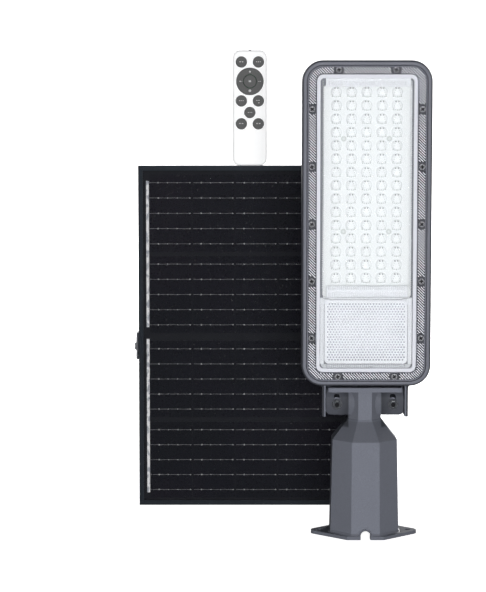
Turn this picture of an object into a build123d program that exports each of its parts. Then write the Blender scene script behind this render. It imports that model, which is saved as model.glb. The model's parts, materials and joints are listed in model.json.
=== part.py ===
from build123d import *
import os
from math import sin, cos, acos, atan2, radians, degrees, hypot

# Solar street lamp kit: tilting LED head on an octagonal pole socket, framed
# photovoltaic panel in a U strap, and a hand-held infra-red remote.
# Millimetres, +Z up, the lamp shines towards -Y.
# Origin: centre of the two foot holes, on the underside of the foot.

os.makedirs("parts", exist_ok=True)

# ------------------------------------------------------------ driving dimensions
# foot and pole socket
HOLE_SPACING, HOLE_R = 105.0, 3.5
FOOT_T, FOOT_TIP_R = 4.0, 10.3
FOOT_HALF_DEPTH, FOOT_FLAT_HALF = 43.0, 21.5
TUBE_AF_LOW, TUBE_AF_HIGH, TUBE_TOP = 81.0, 76.2, 115.0
NECK_AF, NECK_Z = 38.4, 139.3
BORE_R, BORE_DEPTH, PASSAGE_R = 31.5, 104.0, 12.0
NOTCH_HALF, NOTCH_CENTRE_Z = 5.7, 4.7
CLAMP_Z = (31.5, 81.8)
PAD_Y = 41.0

# tilt joint
HY, HZ = 11.0, 157.0
EAR_R_OUT, EAR_R_IN, EAR_HALF = 26.0, 22.0, 45.7
EAR_UP, EAR_DOWN = 39.0, 30.0
BAR_Z, BAR_T, BAR_HALF = 172.0, 5.5, 44.0
TILT_X = 33.1

# lamp head
ZC = 370.6
HEAD_W, HEAD_H, HEAD_R = 151.0, 378.8, 24.5
Y_FRONT, Y_SPLIT, Y_RIM, Y_FIELD, Y_PLATE = -35.0, -26.5, -6.0, -11.0, -14.0
Y_BOX, Y_BOX_IN = 27.0, 24.0
BOX_W, BOX_TOP, HOOD_Z = 101.0, 285.6, 143.0
SCREW_X, SCREW_DZ, SCREW_PITCH, SCREW_TX = 63.8, 178.4, 66.55, 33.1
LED_PX, LED_PZ, LED_Z0 = 17.7, 15.46, 307.1
BOARD_X, BOARD_W, BOARD_Z, BOARD_H = 1.3, 103.6, 407.4, 248.0
DISC_Z, DISC_R = 238.0, 41.5
SW_X, SW_Z, SW_Y = 26.7, 186.5, 21.0

# panel
PX, PW, PH = -126.7, 298.4, 432.3
PY, PD = 168.5, 17.0
PIV_Y, PIV_Z = 180.0, 203.0
CELL_W, CELL_PITCH_X, CELL_H = 53.3, 54.2, 98.0
CELL_X0 = -262.2
ROW_Z = (372.2, 269.3, 161.4, 57.6)
WIRE_PITCH = 19.3

# remote
RX, RZ0, RL, RW = -135.2, PH, 144.0, 43.0
RY0, RY1, RYS = 169.5, 184.5, 177.0


def front(y):
    """Plane at depth y: local x is +X, local y is +Z, extrusions go towards -Y."""
    return Plane.XZ.offset(-y)


def rear(y):
    """Plane at depth y: local x is -X, local y is +Z, extrusions go towards +Y."""
    return Plane(origin=(0, y, 0), x_dir=(-1, 0, 0), z_dir=(0, 1, 0))


def radial(x, up_deg, r):
    """Plane at radius r from the tilt axis, facing outwards, up_deg above the front."""
    a = radians(up_deg)
    d = (0, -cos(a), sin(a))
    return Plane(origin=(x, HY + r * d[1], HZ + r * d[2]), x_dir=(1, 0, 0), z_dir=d)


BEZEL_SCREWS = (
    [(-SCREW_X, ZC + k * SCREW_PITCH) for k in range(-2, 3)]
    + [(SCREW_X, ZC + k * SCREW_PITCH) for k in range(-2, 3)]
    + [(x, ZC + s * SCREW_DZ) for x in (-SCREW_TX, SCREW_TX) for s in (-1, 1)]
)
LEDS = [(c * LED_PX, LED_Z0 + r * LED_PZ) for c in range(-2, 3) for r in range(15)]
BOARD_SCREWS = [(s * 1.5 * LED_PX, LED_Z0 + k * LED_PZ) for s in (-1, 1) for k in (3.5, 10.5)]

# =============================================================== base: pole socket
with BuildPart() as spigot_casting:
    # arched crosshead ears, centred on the tilt axis
    with BuildSketch(Plane.YZ.offset(-EAR_HALF)):
        with BuildLine():
            outer = CenterArc((HY, HZ), EAR_R_OUT, 180 - EAR_UP, EAR_UP + EAR_DOWN)
            inner = CenterArc((HY, HZ), EAR_R_IN, 180 - EAR_UP, EAR_UP + EAR_DOWN)
            Line(outer @ 0, inner @ 0)
            Line(outer @ 1, inner @ 1)
        make_face()
    extrude(amount=2 * EAR_HALF)
    corners = [
        spigot_casting.edges().filter_by_position(Axis.X, s * EAR_HALF - 0.01, s * EAR_HALF + 0.01).sort_by(Axis.Z)[0]
        for s in (-1, 1)
    ]
    fillet(corners, radius=6)
    # stiffening bar across the top of the ears
    with BuildSketch(Plane.XY.offset(BAR_Z)):
        with Locations((0, -15)):
            RectangleRounded(2 * BAR_HALF, 14, 3)
    extrude(amount=BAR_T)
    fillet(spigot_casting.faces().sort_by(Axis.Z)[-1].edges(), radius=1.2)
    # neck, frustum and tube
    with BuildSketch(Plane.XY.offset(NECK_Z - 0.01)):
        RegularPolygon(NECK_AF / 2, 8, major_radius=False, rotation=22.5)
    extrude(amount=BAR_Z + 0.5 - NECK_Z)
    with BuildSketch(Plane.XY.offset(TUBE_TOP)):
        RegularPolygon(TUBE_AF_HIGH / 2, 8, major_radius=False, rotation=22.5)
    with BuildSketch(Plane.XY.offset(NECK_Z)):
        RegularPolygon(NECK_AF / 2, 8, major_radius=False, rotation=22.5)
    loft()
    with BuildSketch(Plane.XY):
        RegularPolygon(TUBE_AF_LOW / 2, 8, major_radius=False, rotation=22.5)
    with BuildSketch(Plane.XY.offset(TUBE_TOP)):
        RegularPolygon(TUBE_AF_HIGH / 2, 8, major_radius=False, rotation=22.5)
    loft()
    # lozenge foot
    hx = HOLE_SPACING / 2
    d = hypot(hx - FOOT_FLAT_HALF, FOOT_HALF_DEPTH)
    t = atan2(FOOT_HALF_DEPTH, FOOT_FLAT_HALF - hx) - acos(FOOT_TIP_R / d)
    tx, ty = hx + FOOT_TIP_R * cos(t), FOOT_TIP_R * sin(t)
    with BuildSketch(Plane.XY):
        with BuildLine():
            Polyline(
                (FOOT_FLAT_HALF, FOOT_HALF_DEPTH), (tx, ty), (tx, -ty), (FOOT_FLAT_HALF, -FOOT_HALF_DEPTH),
                (-FOOT_FLAT_HALF, -FOOT_HALF_DEPTH), (-tx, -ty), (-tx, ty), (-FOOT_FLAT_HALF, FOOT_HALF_DEPTH),
                close=True,
            )
        make_face()
        with Locations((hx, 0), (-hx, 0)):
            Circle(FOOT_TIP_R)
            Circle(HOLE_R, mode=Mode.SUBTRACT)
    extrude(amount=FOOT_T)
    # raised rims round the cable notches, and pads under the clamp bolts
    with BuildSketch(front(-41.8)):
        with Locations((0, NOTCH_CENTRE_Z)):
            Circle(NOTCH_HALF + 2.6)
        with Locations((0, NOTCH_CENTRE_Z / 2)):
            Rectangle(2 * NOTCH_HALF + 5.2, NOTCH_CENTRE_Z)
    extrude(amount=-6)
    with BuildSketch(front(35.8)):
        with Locations((0, NOTCH_CENTRE_Z)):
            Circle(NOTCH_HALF + 2.6)
        with Locations((0, NOTCH_CENTRE_Z / 2)):
            Rectangle(2 * NOTCH_HALF + 5.2, NOTCH_CENTRE_Z)
    extrude(amount=-6)
    with BuildSketch(rear(36.0)):
        with Locations(*[(0, z) for z in CLAMP_Z]):
            Circle(10.2)
    extrude(amount=PAD_Y - 36.0)
    # pole bore and cable passage
    with BuildSketch(Plane.XY):
        Circle(BORE_R)
    extrude(amount=BORE_DEPTH, mode=Mode.SUBTRACT)
    with BuildSketch(Plane.XY.offset(BORE_DEPTH - 1)):
        Circle(PASSAGE_R)
    extrude(amount=167 - BORE_DEPTH + 1, mode=Mode.SUBTRACT)
    # anything of the notch rims that would hang below the foot
    with Locations((0, 0, -10)):
        Box(140, 120, 20, mode=Mode.SUBTRACT)
    # neck cut away behind the bar and at the back, to clear the hood as it tilts
    with Locations((0, 16.2, 173.6)):
        Box(38.6, 48, 13.2, mode=Mode.SUBTRACT)
    with Locations((0, 30.5, 156)):
        Box(60, 30, 40, mode=Mode.SUBTRACT)
    # cable notches, front and rear
    for y0 in (-20.0, 55.0):
        with BuildSketch(front(y0)):
            with Locations((0, NOTCH_CENTRE_Z)):
                Circle(NOTCH_HALF)
            with Locations((0, NOTCH_CENTRE_Z / 2 - 1)):
                Rectangle(2 * NOTCH_HALF, NOTCH_CENTRE_Z + 2)
        extrude(amount=35, mode=Mode.SUBTRACT)
    # clamp bolt holes
    with BuildSketch(rear(26.0)):
        with Locations(*[(0, z) for z in CLAMP_Z]):
            Circle(4.03)
    extrude(amount=25, mode=Mode.SUBTRACT)
    # arc slots in the ears
    for sx in (-TILT_X, TILT_X):
        with BuildSketch(Plane.YZ.offset(sx - 3.3)):
            with BuildLine():
                so = CenterArc((HY, HZ), EAR_R_OUT + 3, 180 - 21.0, 26.3)
                si = CenterArc((HY, HZ), EAR_R_IN - 3, 180 - 21.0, 26.3)
                Line(so @ 0, si @ 0)
                Line(so @ 1, si @ 1)
            make_face()
        extrude(amount=6.6, mode=Mode.SUBTRACT)
        for a in (-5.3, 21.0):
            with BuildSketch(radial(sx, a, EAR_R_IN - 3)):
                Circle(3.3)
            extrude(amount=10, mode=Mode.SUBTRACT)
spigot_casting.part.label = "spigot_casting"
export_step(spigot_casting.part, "parts/spigot_casting.step")

with BuildPart() as clamp_bolts:
    with BuildSketch(front(41.0)):
        with Locations(*[(0, z) for z in CLAMP_Z]):
            Circle(4.0)
    extrude(amount=8.8)
    with BuildSketch(rear(PAD_Y)):
        with Locations(*[(0, z) for z in CLAMP_Z]):
            Circle(8.95)
    extrude(amount=1.8)
    with BuildSketch(rear(PAD_Y + 1.8)):
        with Locations(*[(0, z) for z in CLAMP_Z]):
            RegularPolygon(6.5, 6, major_radius=False)
    extrude(amount=6.0)
clamp_bolts.part.label = "clamp_bolts"
export_step(clamp_bolts.part, "parts/clamp_bolts.step")

# ====================================================================== lamp head
with BuildPart() as tilt_boss:
    with BuildSketch(front(24.5)):
        with Locations((TILT_X, HZ), (-TILT_X, HZ)):
            Circle(7.5)
    extrude(amount=40)
    with BuildSketch(Plane.YZ.offset(-60)):
        with Locations((HY, HZ)):
            Circle(EAR_R_IN - 0.3)
    extrude(amount=120, mode=Mode.INTERSECT)

with BuildPart() as rear_housing:
    with BuildSketch(front(Y_RIM)):
        with Locations((0, ZC)):
            RectangleRounded(HEAD_W, HEAD_H, HEAD_R)
    extrude(amount=Y_RIM - Y_SPLIT)
    fillet(rear_housing.faces().sort_by(Axis.Y)[-1].edges(), radius=4)
    # recessed field inside the raised rim
    with BuildSketch(front(Y_RIM)):
        with Locations((0, ZC)):
            RectangleRounded(118, 345.8, 13)
    extrude(amount=Y_RIM - Y_FIELD, taper=15, mode=Mode.SUBTRACT)
    # six cooling ribs
    with BuildSketch(rear(Y_FIELD - 0.5)):
        with Locations(*[((k - 2.5) * 18.6, 411.5) for k in range(6)]):
            RectangleRounded(11.4, 251, 5.5)
    extrude(amount=5.0, taper=20)
    # battery box running down into the hood
    with BuildSketch(rear(-11.5)):
        with Locations((0, (BOX_TOP + 90) / 2)):
            RectangleRounded(BOX_W, BOX_TOP - 90, 15)
    extrude(amount=Y_BOX + 11.5, taper=3)
    fillet(rear_housing.faces().sort_by(Axis.Y)[-1].edges(), radius=2.5)
    with BuildSketch(rear(-20)):
        with Locations((0, 164)):
            Rectangle(BOX_W, 42)
    extrude(amount=9)
    # sloped skirt where the box meets the ribbed field
    with BuildSketch(rear(-11.5)):
        with Locations((0, 239.5)):
            RectangleRounded(115, 111, 16)
    with BuildSketch(rear(2)):
        with Locations((0, 234.5)):
            RectangleRounded(99.6, 101, 15)
    loft()
    # small gussets where the cheeks meet the head
    for s in (-1, 1):
        with BuildSketch(front(-8)):
            with BuildLine():
                g1 = ThreePointArc((s * 50.3, 172.5), (s * 51.7, 179.4), (s * 56, 181.9))
                Line(g1 @ 1, (s * 49, 183))
                Line((s * 49, 183), (s * 49, 172.5))
                Line((s * 49, 172.5), g1 @ 0)
            make_face()
        extrude(amount=12)
    # hood cut level at the bottom
    with Locations((0, 0, HOOD_Z - 40)):
        Box(130, 120, 80, mode=Mode.SUBTRACT)
    # interior behind the lens
    with BuildSketch(front(Y_PLATE)):
        with Locations((0, ZC)):
            RectangleRounded(145, 372.8, 21.5)
    extrude(amount=13, mode=Mode.SUBTRACT)
    # hollow under the raised rim
    with BuildSketch(front(-9.5)):
        with Locations((0, ZC)):
            RectangleRounded(143, 370.8, 20.5)
            RectangleRounded(125, 352.8, 14, mode=Mode.SUBTRACT)
    extrude(amount=5, mode=Mode.SUBTRACT)
    # battery compartment
    with Locations((0, 5, (184.2 + 281) / 2)):
        Box(92, 38, 281 - 184.2, mode=Mode.SUBTRACT)
    with Locations((0, 18, 181.25)):
        Box(88, 12, 9.5, mode=Mode.SUBTRACT)
    # hood cavity, stepped under the switch
    with Locations((0, -10.5, 155.6)):
        Box(93.2, 39, 51.2, mode=Mode.SUBTRACT)
    with Locations((0, 16.4, 151.75)):
        Box(93.2, 15.2, 43.5, mode=Mode.SUBTRACT)
    # inner land that carries the gasket
    with BuildSketch(front(-13.8)):
        with Locations((0, ZC)):
            RectangleRounded(123, 350.8, 10.5)
            RectangleRounded(115, 342.8, 7, mode=Mode.SUBTRACT)
    extrude(amount=13)
    # bezel screw bosses
    with BuildSketch(front(-13.8)):
        with Locations(*BEZEL_SCREWS):
            Circle(4.4)
    extrude(amount=12.7)
    with BuildSketch(front(-16.5)):
        with Locations(*BEZEL_SCREWS):
            Circle(2.02)
    extrude(amount=14, mode=Mode.SUBTRACT)
    # board screw holes
    with BuildSketch(front(-11.6)):
        with Locations(*BOARD_SCREWS):
            Circle(1.52)
    extrude(amount=4, mode=Mode.SUBTRACT)
    # tilt screw bosses with their tapped holes
    add(tilt_boss.part)
    with BuildSketch(front(14)):
        with Locations((TILT_X, HZ), (-TILT_X, HZ)):
            Circle(3.03)
    extrude(amount=40, mode=Mode.SUBTRACT)
    # switch opening and its shallow recess
    with BuildSketch(rear(22)):
        with Locations((-SW_X, SW_Z)):
            Rectangle(27.2, 13.2)
    extrude(amount=8, mode=Mode.SUBTRACT)
    with BuildSketch(rear(Y_BOX - 1)):
        with Locations((-SW_X, SW_Z)):
            RectangleRounded(36.6, 19.2, 1.5)
    extrude(amount=3, mode=Mode.SUBTRACT)
    # round access opening and its seat
    with BuildSketch(rear(22)):
        with Locations((0, DISC_Z)):
            Circle(36)
    extrude(amount=8, mode=Mode.SUBTRACT)
    with BuildSketch(rear(Y_BOX - 1.2)):
        with Locations((0, DISC_Z)):
            Circle(DISC_R + 0.4)
    extrude(amount=3, mode=Mode.SUBTRACT)
    # gland hole in the floor, and the cable recess in front of it
    with BuildSketch(Plane.XY.offset(180)):
        with Locations((0, 1)):
            Circle(6.05)
    extrude(amount=6, mode=Mode.SUBTRACT)
    with Locations((0, -20, 181.9)):
        Box(44, 16, 2.2, mode=Mode.SUBTRACT)
rear_housing.part.label = "rear_housing"
export_step(rear_housing.part, "parts/rear_housing.step")

with BuildPart() as front_bezel:
    with BuildSketch(front(Y_SPLIT)):
        with Locations((0, ZC)):
            RectangleRounded(HEAD_W, HEAD_H, HEAD_R)
    extrude(amount=Y_SPLIT - Y_FRONT)
    fillet(front_bezel.faces().sort_by(Axis.Y)[0].edges(), radius=4.8)
    # opening for the lens, and the pocket for the gasket behind it
    with BuildSketch(front(Y_SPLIT)):
        with Locations((0, ZC)):
            RectangleRounded(116.6, 346, 7.6)
    extrude(amount=9, mode=Mode.SUBTRACT)
    with BuildSketch(front(Y_SPLIT)):
        with Locations((0, ZC)):
            RectangleRounded(123.4, 351.2, 10.7)
    extrude(amount=5.7, mode=Mode.SUBTRACT)
    # groove inside the outer rim
    with BuildSketch(front(-32.4)):
        with Locations((0, ZC)):
            RectangleRounded(140.4, 368.2, 19.2)
            RectangleRounded(136.0, 363.8, 17, mode=Mode.SUBTRACT)
    extrude(amount=3, mode=Mode.SUBTRACT)
    # sunk band for the decorative ridges, round the screw collars
    with BuildSketch(front(-33.6)):
        with Locations((0, ZC)):
            RectangleRounded(136.2, 364.0, 17.1)
            RectangleRounded(118, 347.4, 8.3, mode=Mode.SUBTRACT)
        with Locations(*BEZEL_SCREWS):
            Circle(5.6, mode=Mode.SUBTRACT)
    extrude(amount=3, mode=Mode.SUBTRACT)
    # screw pockets and clearance holes
    with BuildSketch(front(-32.8)):
        with Locations(*BEZEL_SCREWS):
            Circle(4.7)
    extrude(amount=5, mode=Mode.SUBTRACT)
    with BuildSketch(front(-26)):
        with Locations(*BEZEL_SCREWS):
            Circle(2.2)
    extrude(amount=8, mode=Mode.SUBTRACT)
    with Locations((0, -24, 181.9)):
        Box(44, 14, 2.2, mode=Mode.SUBTRACT)
front_bezel.part.label = "front_bezel"
export_step(front_bezel.part, "parts/front_bezel.step")

with BuildPart() as bezel_screws:
    with BuildSketch(front(-17.5)):
        with Locations(*BEZEL_SCREWS):
            Circle(1.98)
    extrude(amount=15.3)
    with BuildSketch(front(-32.8)):
        with Locations(*BEZEL_SCREWS):
            Circle(3.7)
    extrude(amount=2.0, taper=12)
    with BuildSketch(front(-33.9)):
        with Locations(*BEZEL_SCREWS):
            Rectangle(4.2, 0.9)
            Rectangle(0.9, 4.2)
    extrude(amount=3, mode=Mode.SUBTRACT)
bezel_screws.part.label = "bezel_screws"
export_step(bezel_screws.part, "parts/bezel_screws.step")

with BuildPart() as front_lens:
    with BuildSketch(front(-28)):
        with Locations((0, ZC)):
            RectangleRounded(117, 344.8, 8)
    extrude(amount=3)
    with BuildSketch(front(-31)):
        with Locations((0, ZC)):
            RectangleRounded(106.4, 335.6, 6.5)
    extrude(amount=1.4, taper=10)
front_lens.part.label = "front_lens"
export_step(front_lens.part, "parts/front_lens.step")

with BuildPart() as lens_gasket:
    with BuildSketch(front(-26.8)):
        with Locations((0, ZC)):
            RectangleRounded(122.2, 350.2, 10)
            RectangleRounded(108.4, 337.6, 4, mode=Mode.SUBTRACT)
    extrude(amount=5.4)
    with BuildSketch(front(-28)):
        with Locations((0, ZC)):
            RectangleRounded(117, 344.8, 8)
    extrude(amount=3, mode=Mode.SUBTRACT)
    # the lens slot leaves a thin inner lip on both faces only
lens_gasket.part.label = "lens_gasket"
export_step(lens_gasket.part, "parts/lens_gasket.step")

with BuildPart() as led_board:
    with BuildSketch(front(Y_PLATE)):
        with Locations((BOARD_X, BOARD_Z)):
            RectangleRounded(BOARD_W, BOARD_H, 4)
        with Locations(*BOARD_SCREWS):
            Circle(1.6, mode=Mode.SUBTRACT)
    extrude(amount=1.6)
led_board.part.label = "led_board"
export_step(led_board.part, "parts/led_board.step")

with BuildPart() as led_board_screws:
    with BuildSketch(front(-11.8)):
        with Locations(*BOARD_SCREWS):
            Circle(1.5)
    extrude(amount=4)
    with BuildSketch(front(-15.6)):
        with Locations(*BOARD_SCREWS):
            Circle(2.9)
    extrude(amount=1.9, taper=10)
    with BuildSketch(front(-16.6)):
        with Locations(*BOARD_SCREWS):
            Rectangle(3.2, 0.7)
            Rectangle(0.7, 3.2)
    extrude(amount=3, mode=Mode.SUBTRACT)
led_board_screws.part.label = "led_board_screws"
export_step(led_board_screws.part, "parts/led_board_screws.step")

with BuildPart() as led_chips:
    with BuildSketch(front(-15.6)):
        with Locations(*LEDS):
            Rectangle(3.5, 3.5)
    extrude(amount=0.8)
led_chips.part.label = "led_chips"
export_step(led_chips.part, "parts/led_chips.step")

with BuildPart() as lens_array:
    with BuildSketch(front(-17)):
        with Locations((BOARD_X, BOARD_Z)):
            RectangleRounded(BOARD_W - 1.4, BOARD_H - 2, 3)
        with Locations(*BOARD_SCREWS):
            Circle(3.4, mode=Mode.SUBTRACT)
    extrude(amount=1.4)
    with BuildSketch(front(-18.3)):
        with Locations(*LEDS):
            Circle(6.2)
    extrude(amount=3.7, taper=24)
    # legs that stand the plate on the board
    with BuildSketch(front(-15.6)):
        with Locations((-46.5, 288), (49, 288), (-46.5, 527.5), (49, 527.5), (-46.5, 415.3), (49, 415.3)):
            Circle(1.8)
    extrude(amount=2)
lens_array.part.label = "lens_array"
export_step(lens_array.part, "parts/lens_array.step")

with BuildPart() as diffuser_plate:
    with BuildSketch(front(-25.6)):
        with Locations((0, 244.2)):
            RectangleRounded(97, 75, 5)
    extrude(amount=2.4)
diffuser_plate.part.label = "diffuser_plate"
export_step(diffuser_plate.part, "parts/diffuser_plate.step")

with BuildPart() as battery_cells:
    with BuildSketch(Plane.XY.offset(203)):
        with Locations((-17.5, 6), (17.5, 6)):
            Circle(16.2)
    extrude(amount=69)
    with BuildSketch(Plane.XY.offset(272)):
        with Locations((-17.5, 6), (17.5, 6)):
            Circle(5)
    extrude(amount=1.5)
battery_cells.part.label = "battery_cells"
export_step(battery_cells.part, "parts/battery_cells.step")

with BuildPart() as battery_cradle:
    with BuildSketch(Plane.YZ.offset(-36)):
        with BuildLine():
            Polyline(
                (-13.4, 200), (24, 200), (24, 203), (-11, 203), (-11, 273.5), (24, 273.5), (24, 276.5), (-13.4, 276.5),
                close=True,
            )
        make_face()
    extrude(amount=72)
    with BuildSketch(front(-13.4)):
        with Locations((-33, 209), (33, 209), (-33, 271), (33, 271)):
            Circle(2.4)
    extrude(amount=1.6)
battery_cradle.part.label = "battery_cradle"
export_step(battery_cradle.part, "parts/battery_cradle.step")

with BuildPart() as controller_board:
    with BuildSketch(front(-15)):
        with Locations((0, 240)):
            Rectangle(80, 68)
    extrude(amount=1.6)
    # coil, capacitors, regulator and plug headers on the front face
    with BuildSketch(front(-16.6)):
        with Locations((-26, 262)):
            RectangleRounded(11, 11, 2)
        with Locations((-26, 245), (-26, 234)):
            Circle(4)
        with Locations((28, 262)):
            Rectangle(10, 8)
        with Locations((-10, 212), (6, 212)):
            Rectangle(11, 6)
    extrude(amount=4.5)
controller_board.part.label = "controller_board"
export_step(controller_board.part, "parts/controller_board.step")

with BuildPart() as motion_sensor:
    with BuildSketch(front(-16.6)):
        with Locations((0, 246)):
            Rectangle(24, 24)
    extrude(amount=1.4)
    with BuildSketch(front(-18)):
        with Locations((0, 246)):
            Circle(8)
    extrude(amount=5, taper=20)
motion_sensor.part.label = "motion_sensor"
export_step(motion_sensor.part, "parts/motion_sensor.step")

with BuildPart() as ir_receiver:
    with BuildSketch(front(-16.6)):
        with Locations((28, 222)):
            Rectangle(6, 7)
    extrude(amount=3)
    with BuildSketch(front(-19.6)):
        with Locations((28, 222.5)):
            Circle(2.4)
    extrude(amount=1.6, taper=25)
ir_receiver.part.label = "ir_receiver"
export_step(ir_receiver.part, "parts/ir_receiver.step")

with BuildPart() as rear_disc_cover:
    with BuildSketch(rear(24.0)):
        with Locations((0, DISC_Z)):
            Circle(35.7)
    extrude(amount=1.85)
    with BuildSketch(rear(Y_BOX - 1.2)):
        with Locations((0, DISC_Z)):
            Circle(DISC_R)
    extrude(amount=1.4)
    with BuildSketch(rear(Y_BOX - 0.4)):
        with Locations((0, DISC_Z)):
            Circle(24.1)
            Circle(23.1, mode=Mode.SUBTRACT)
    extrude(amount=2, mode=Mode.SUBTRACT)
    # plain raised index bars, one a little longer than the rest
    with BuildSketch(rear(Y_BOX)):
        for k in range(12):
            a = radians(k * 30 + 15)
            with Locations(Location((30.5 * cos(a), DISC_Z + 30.5 * sin(a)), k * 30 + 15)):
                Rectangle(7 if k == 2 else 5, 1.3)
    extrude(amount=0.6)
rear_disc_cover.part.label = "rear_disc_cover"
export_step(rear_disc_cover.part, "parts/rear_disc_cover.step")

with BuildPart() as cable_gland:
    with BuildSketch(Plane.XY.offset(181.2)):
        with Locations((0, 1)):
            RegularPolygon(6.9, 6, major_radius=False)
    extrude(amount=-5)
    with BuildSketch(Plane.XY.offset(176.2)):
        with Locations((0, 1)):
            Circle(6.2)
    extrude(amount=-4.6, taper=14)
    with BuildSketch(Plane.XY.offset(181.2)):
        with Locations((0, 1)):
            Circle(6.0)
    extrude(amount=8)
    with BuildSketch(Plane.XY.offset(184.2)):
        with Locations((0, 1)):
            RegularPolygon(7.4, 6, major_radius=False)
    extrude(amount=3)
    with BuildSketch(Plane.XY.offset(170)):
        with Locations((0, 1)):
            Circle(2.6)
    extrude(amount=20, mode=Mode.SUBTRACT)
cable_gland.part.label = "cable_gland"
export_step(cable_gland.part, "parts/cable_gland.step")

with BuildPart() as tilt_washers:
    with BuildSketch(front(-10)):
        with Locations((TILT_X, HZ), (-TILT_X, HZ)):
            Circle(6.1)
            Circle(3.1, mode=Mode.SUBTRACT)
    extrude(amount=7.4)
    with BuildSketch(Plane.YZ.offset(-60)):
        with Locations((HY, HZ)):
            Circle(EAR_R_OUT + 0.3)
    extrude(amount=120, mode=Mode.SUBTRACT)
tilt_washers.part.label = "tilt_washers"
export_step(tilt_washers.part, "parts/tilt_washers.step")

with BuildPart() as tilt_screws:
    with BuildSketch(front(6)):
        with Locations((TILT_X, HZ), (-TILT_X, HZ)):
            Circle(3.0)
    extrude(amount=24)
    with BuildSketch(front(-17.4)):
        with Locations((TILT_X, HZ), (-TILT_X, HZ)):
            Circle(5.2)
    extrude(amount=4.2, taper=6)
    with BuildSketch(front(-19.2)):
        with Locations((TILT_X, HZ), (-TILT_X, HZ)):
            RegularPolygon(2.5, 6, major_radius=False)
    extrude(amount=4, mode=Mode.SUBTRACT)
tilt_screws.part.label = "tilt_screws"
export_step(tilt_screws.part, "parts/tilt_screws.step")

with BuildPart() as switch_frame:
    with BuildSketch(rear(Y_BOX - 1)):
        with Locations((-SW_X, SW_Z)):
            RectangleRounded(36, 18.6, 1.4)
    extrude(amount=2)
    fillet(switch_frame.faces().sort_by(Axis.Y)[-1].edges(), radius=0.7)
    with BuildSketch(rear(13.2)):
        with Locations((-SW_X, SW_Z)):
            Rectangle(27, 13)
    extrude(amount=13.2)
    with BuildSketch(rear(15.2)):
        with Locations((-SW_X, SW_Z)):
            Rectangle(23, 11.4)
    extrude(amount=20, mode=Mode.SUBTRACT)
    with BuildSketch(Plane.XY.offset(SW_Z - 6.35)):
        with Locations((SW_X, SW_Y)):
            Circle(1.5)
    extrude(amount=12.7, mode=Mode.SUBTRACT)
    # two blade terminals
    with BuildSketch(front(13.5)):
        with Locations((SW_X - 7, SW_Z), (SW_X + 7, SW_Z)):
            Rectangle(0.8, 4.0)
    extrude(amount=6)
switch_frame.part.label = "switch_frame"
export_step(switch_frame.part, "parts/switch_frame.step")

# ========================================================================= rocker
with BuildPart() as switch_rocker:
    rest = Plane(origin=(SW_X, SW_Y, SW_Z - 5.45), x_dir=(cos(radians(10)), sin(radians(10)), 0), z_dir=(0, 0, 1))
    with BuildSketch(rest):
        with BuildLine():
            Polyline((-9.8, 5.9), (0, 4.1), (9.8, 5.9), (8.9, 1), (3, -3.6), (-3, -3.6), (-8.9, 1), close=True)
        make_face()
    extrude(amount=10.9)
    with BuildSketch(Plane.XY.offset(SW_Z - 6.2)):
        with Locations((SW_X, SW_Y)):
            Circle(1.45)
    extrude(amount=12.4)
switch_rocker.part.label = "switch_rocker"
export_step(switch_rocker.part, "parts/switch_rocker.step")

# ================================================================== panel bracket
BX0, BX1 = PX - PW / 2, PX + PW / 2
with BuildPart() as panel_bracket:
    with BuildSketch(Plane.XY.offset(PIV_Z - 17)):
        with BuildLine():
            FilletPolyline(
                (BX0 - 3.3, 171), (BX0 - 3.3, 200), (BX1 + 3.3, 200), (BX1 + 3.3, 171), radius=6,
            )
            offset(amount=2.5, side=Side.RIGHT)
        make_face()
    extrude(amount=34)
    ends = panel_bracket.faces().sort_by(Axis.Y)[0:2]
    fillet([e for f in ends for e in f.edges().filter_by(Axis.X)], radius=8)
    with BuildSketch(Plane.YZ.offset(BX0 - 20)):
        with Locations((PIV_Y, PIV_Z)):
            Circle(2.58)
    extrude(amount=PW + 40, mode=Mode.SUBTRACT)
    with BuildSketch(rear(190)):
        with Locations((-(PX - 100), PIV_Z), (-(PX + 100), PIV_Z)):
            Circle(3.3)
    extrude(amount=20, mode=Mode.SUBTRACT)
panel_bracket.part.label = "panel_bracket"
export_step(panel_bracket.part, "parts/panel_bracket.step")

# ========================================================================== panel
with BuildPart() as frame_ring:
    with BuildSketch(front(PY + PD)):
        with Locations((PX, PH / 2)):
            Rectangle(PW, PH)
            Rectangle(PW - 2.8, PH - 2.8, mode=Mode.SUBTRACT)
    extrude(amount=PD)
    for y, depth, wide in ((PY + 1.3, 1.3, 6.0), (PY + 7.1, 1.2, 5.0), (PY + PD, 1.4, 10.0)):
        with BuildSketch(front(y)):
            with Locations((PX, PH / 2)):
                Rectangle(PW, PH)
                Rectangle(PW - 2 * wide, PH - 2 * wide, mode=Mode.SUBTRACT)
        extrude(amount=depth)
    with BuildSketch(Plane.YZ.offset(BX0 - 20)):
        with Locations((PIV_Y, PIV_Z)):
            Circle(2.52)
    extrude(amount=PW + 40, mode=Mode.SUBTRACT)

with BuildPart() as frame_rail_left:
    add(frame_ring.part)
    with BuildSketch(front(200)):
        with BuildLine():
            Polyline((BX0, 0), (BX0, PH), (BX0 + 20, PH - 20), (BX0 + 20, 20), close=True)
        make_face()
    extrude(amount=50, mode=Mode.INTERSECT)
frame_rail_left.part.label = "frame_rail_left"
export_step(frame_rail_left.part, "parts/frame_rail_left.step")

with BuildPart() as frame_rail_right:
    add(frame_ring.part)
    with BuildSketch(front(200)):
        with BuildLine():
            Polyline((BX1, 0), (BX1, PH), (BX1 - 20, PH - 20), (BX1 - 20, 20), close=True)
        make_face()
    extrude(amount=50, mode=Mode.INTERSECT)
frame_rail_right.part.label = "frame_rail_right"
export_step(frame_rail_right.part, "parts/frame_rail_right.step")

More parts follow.
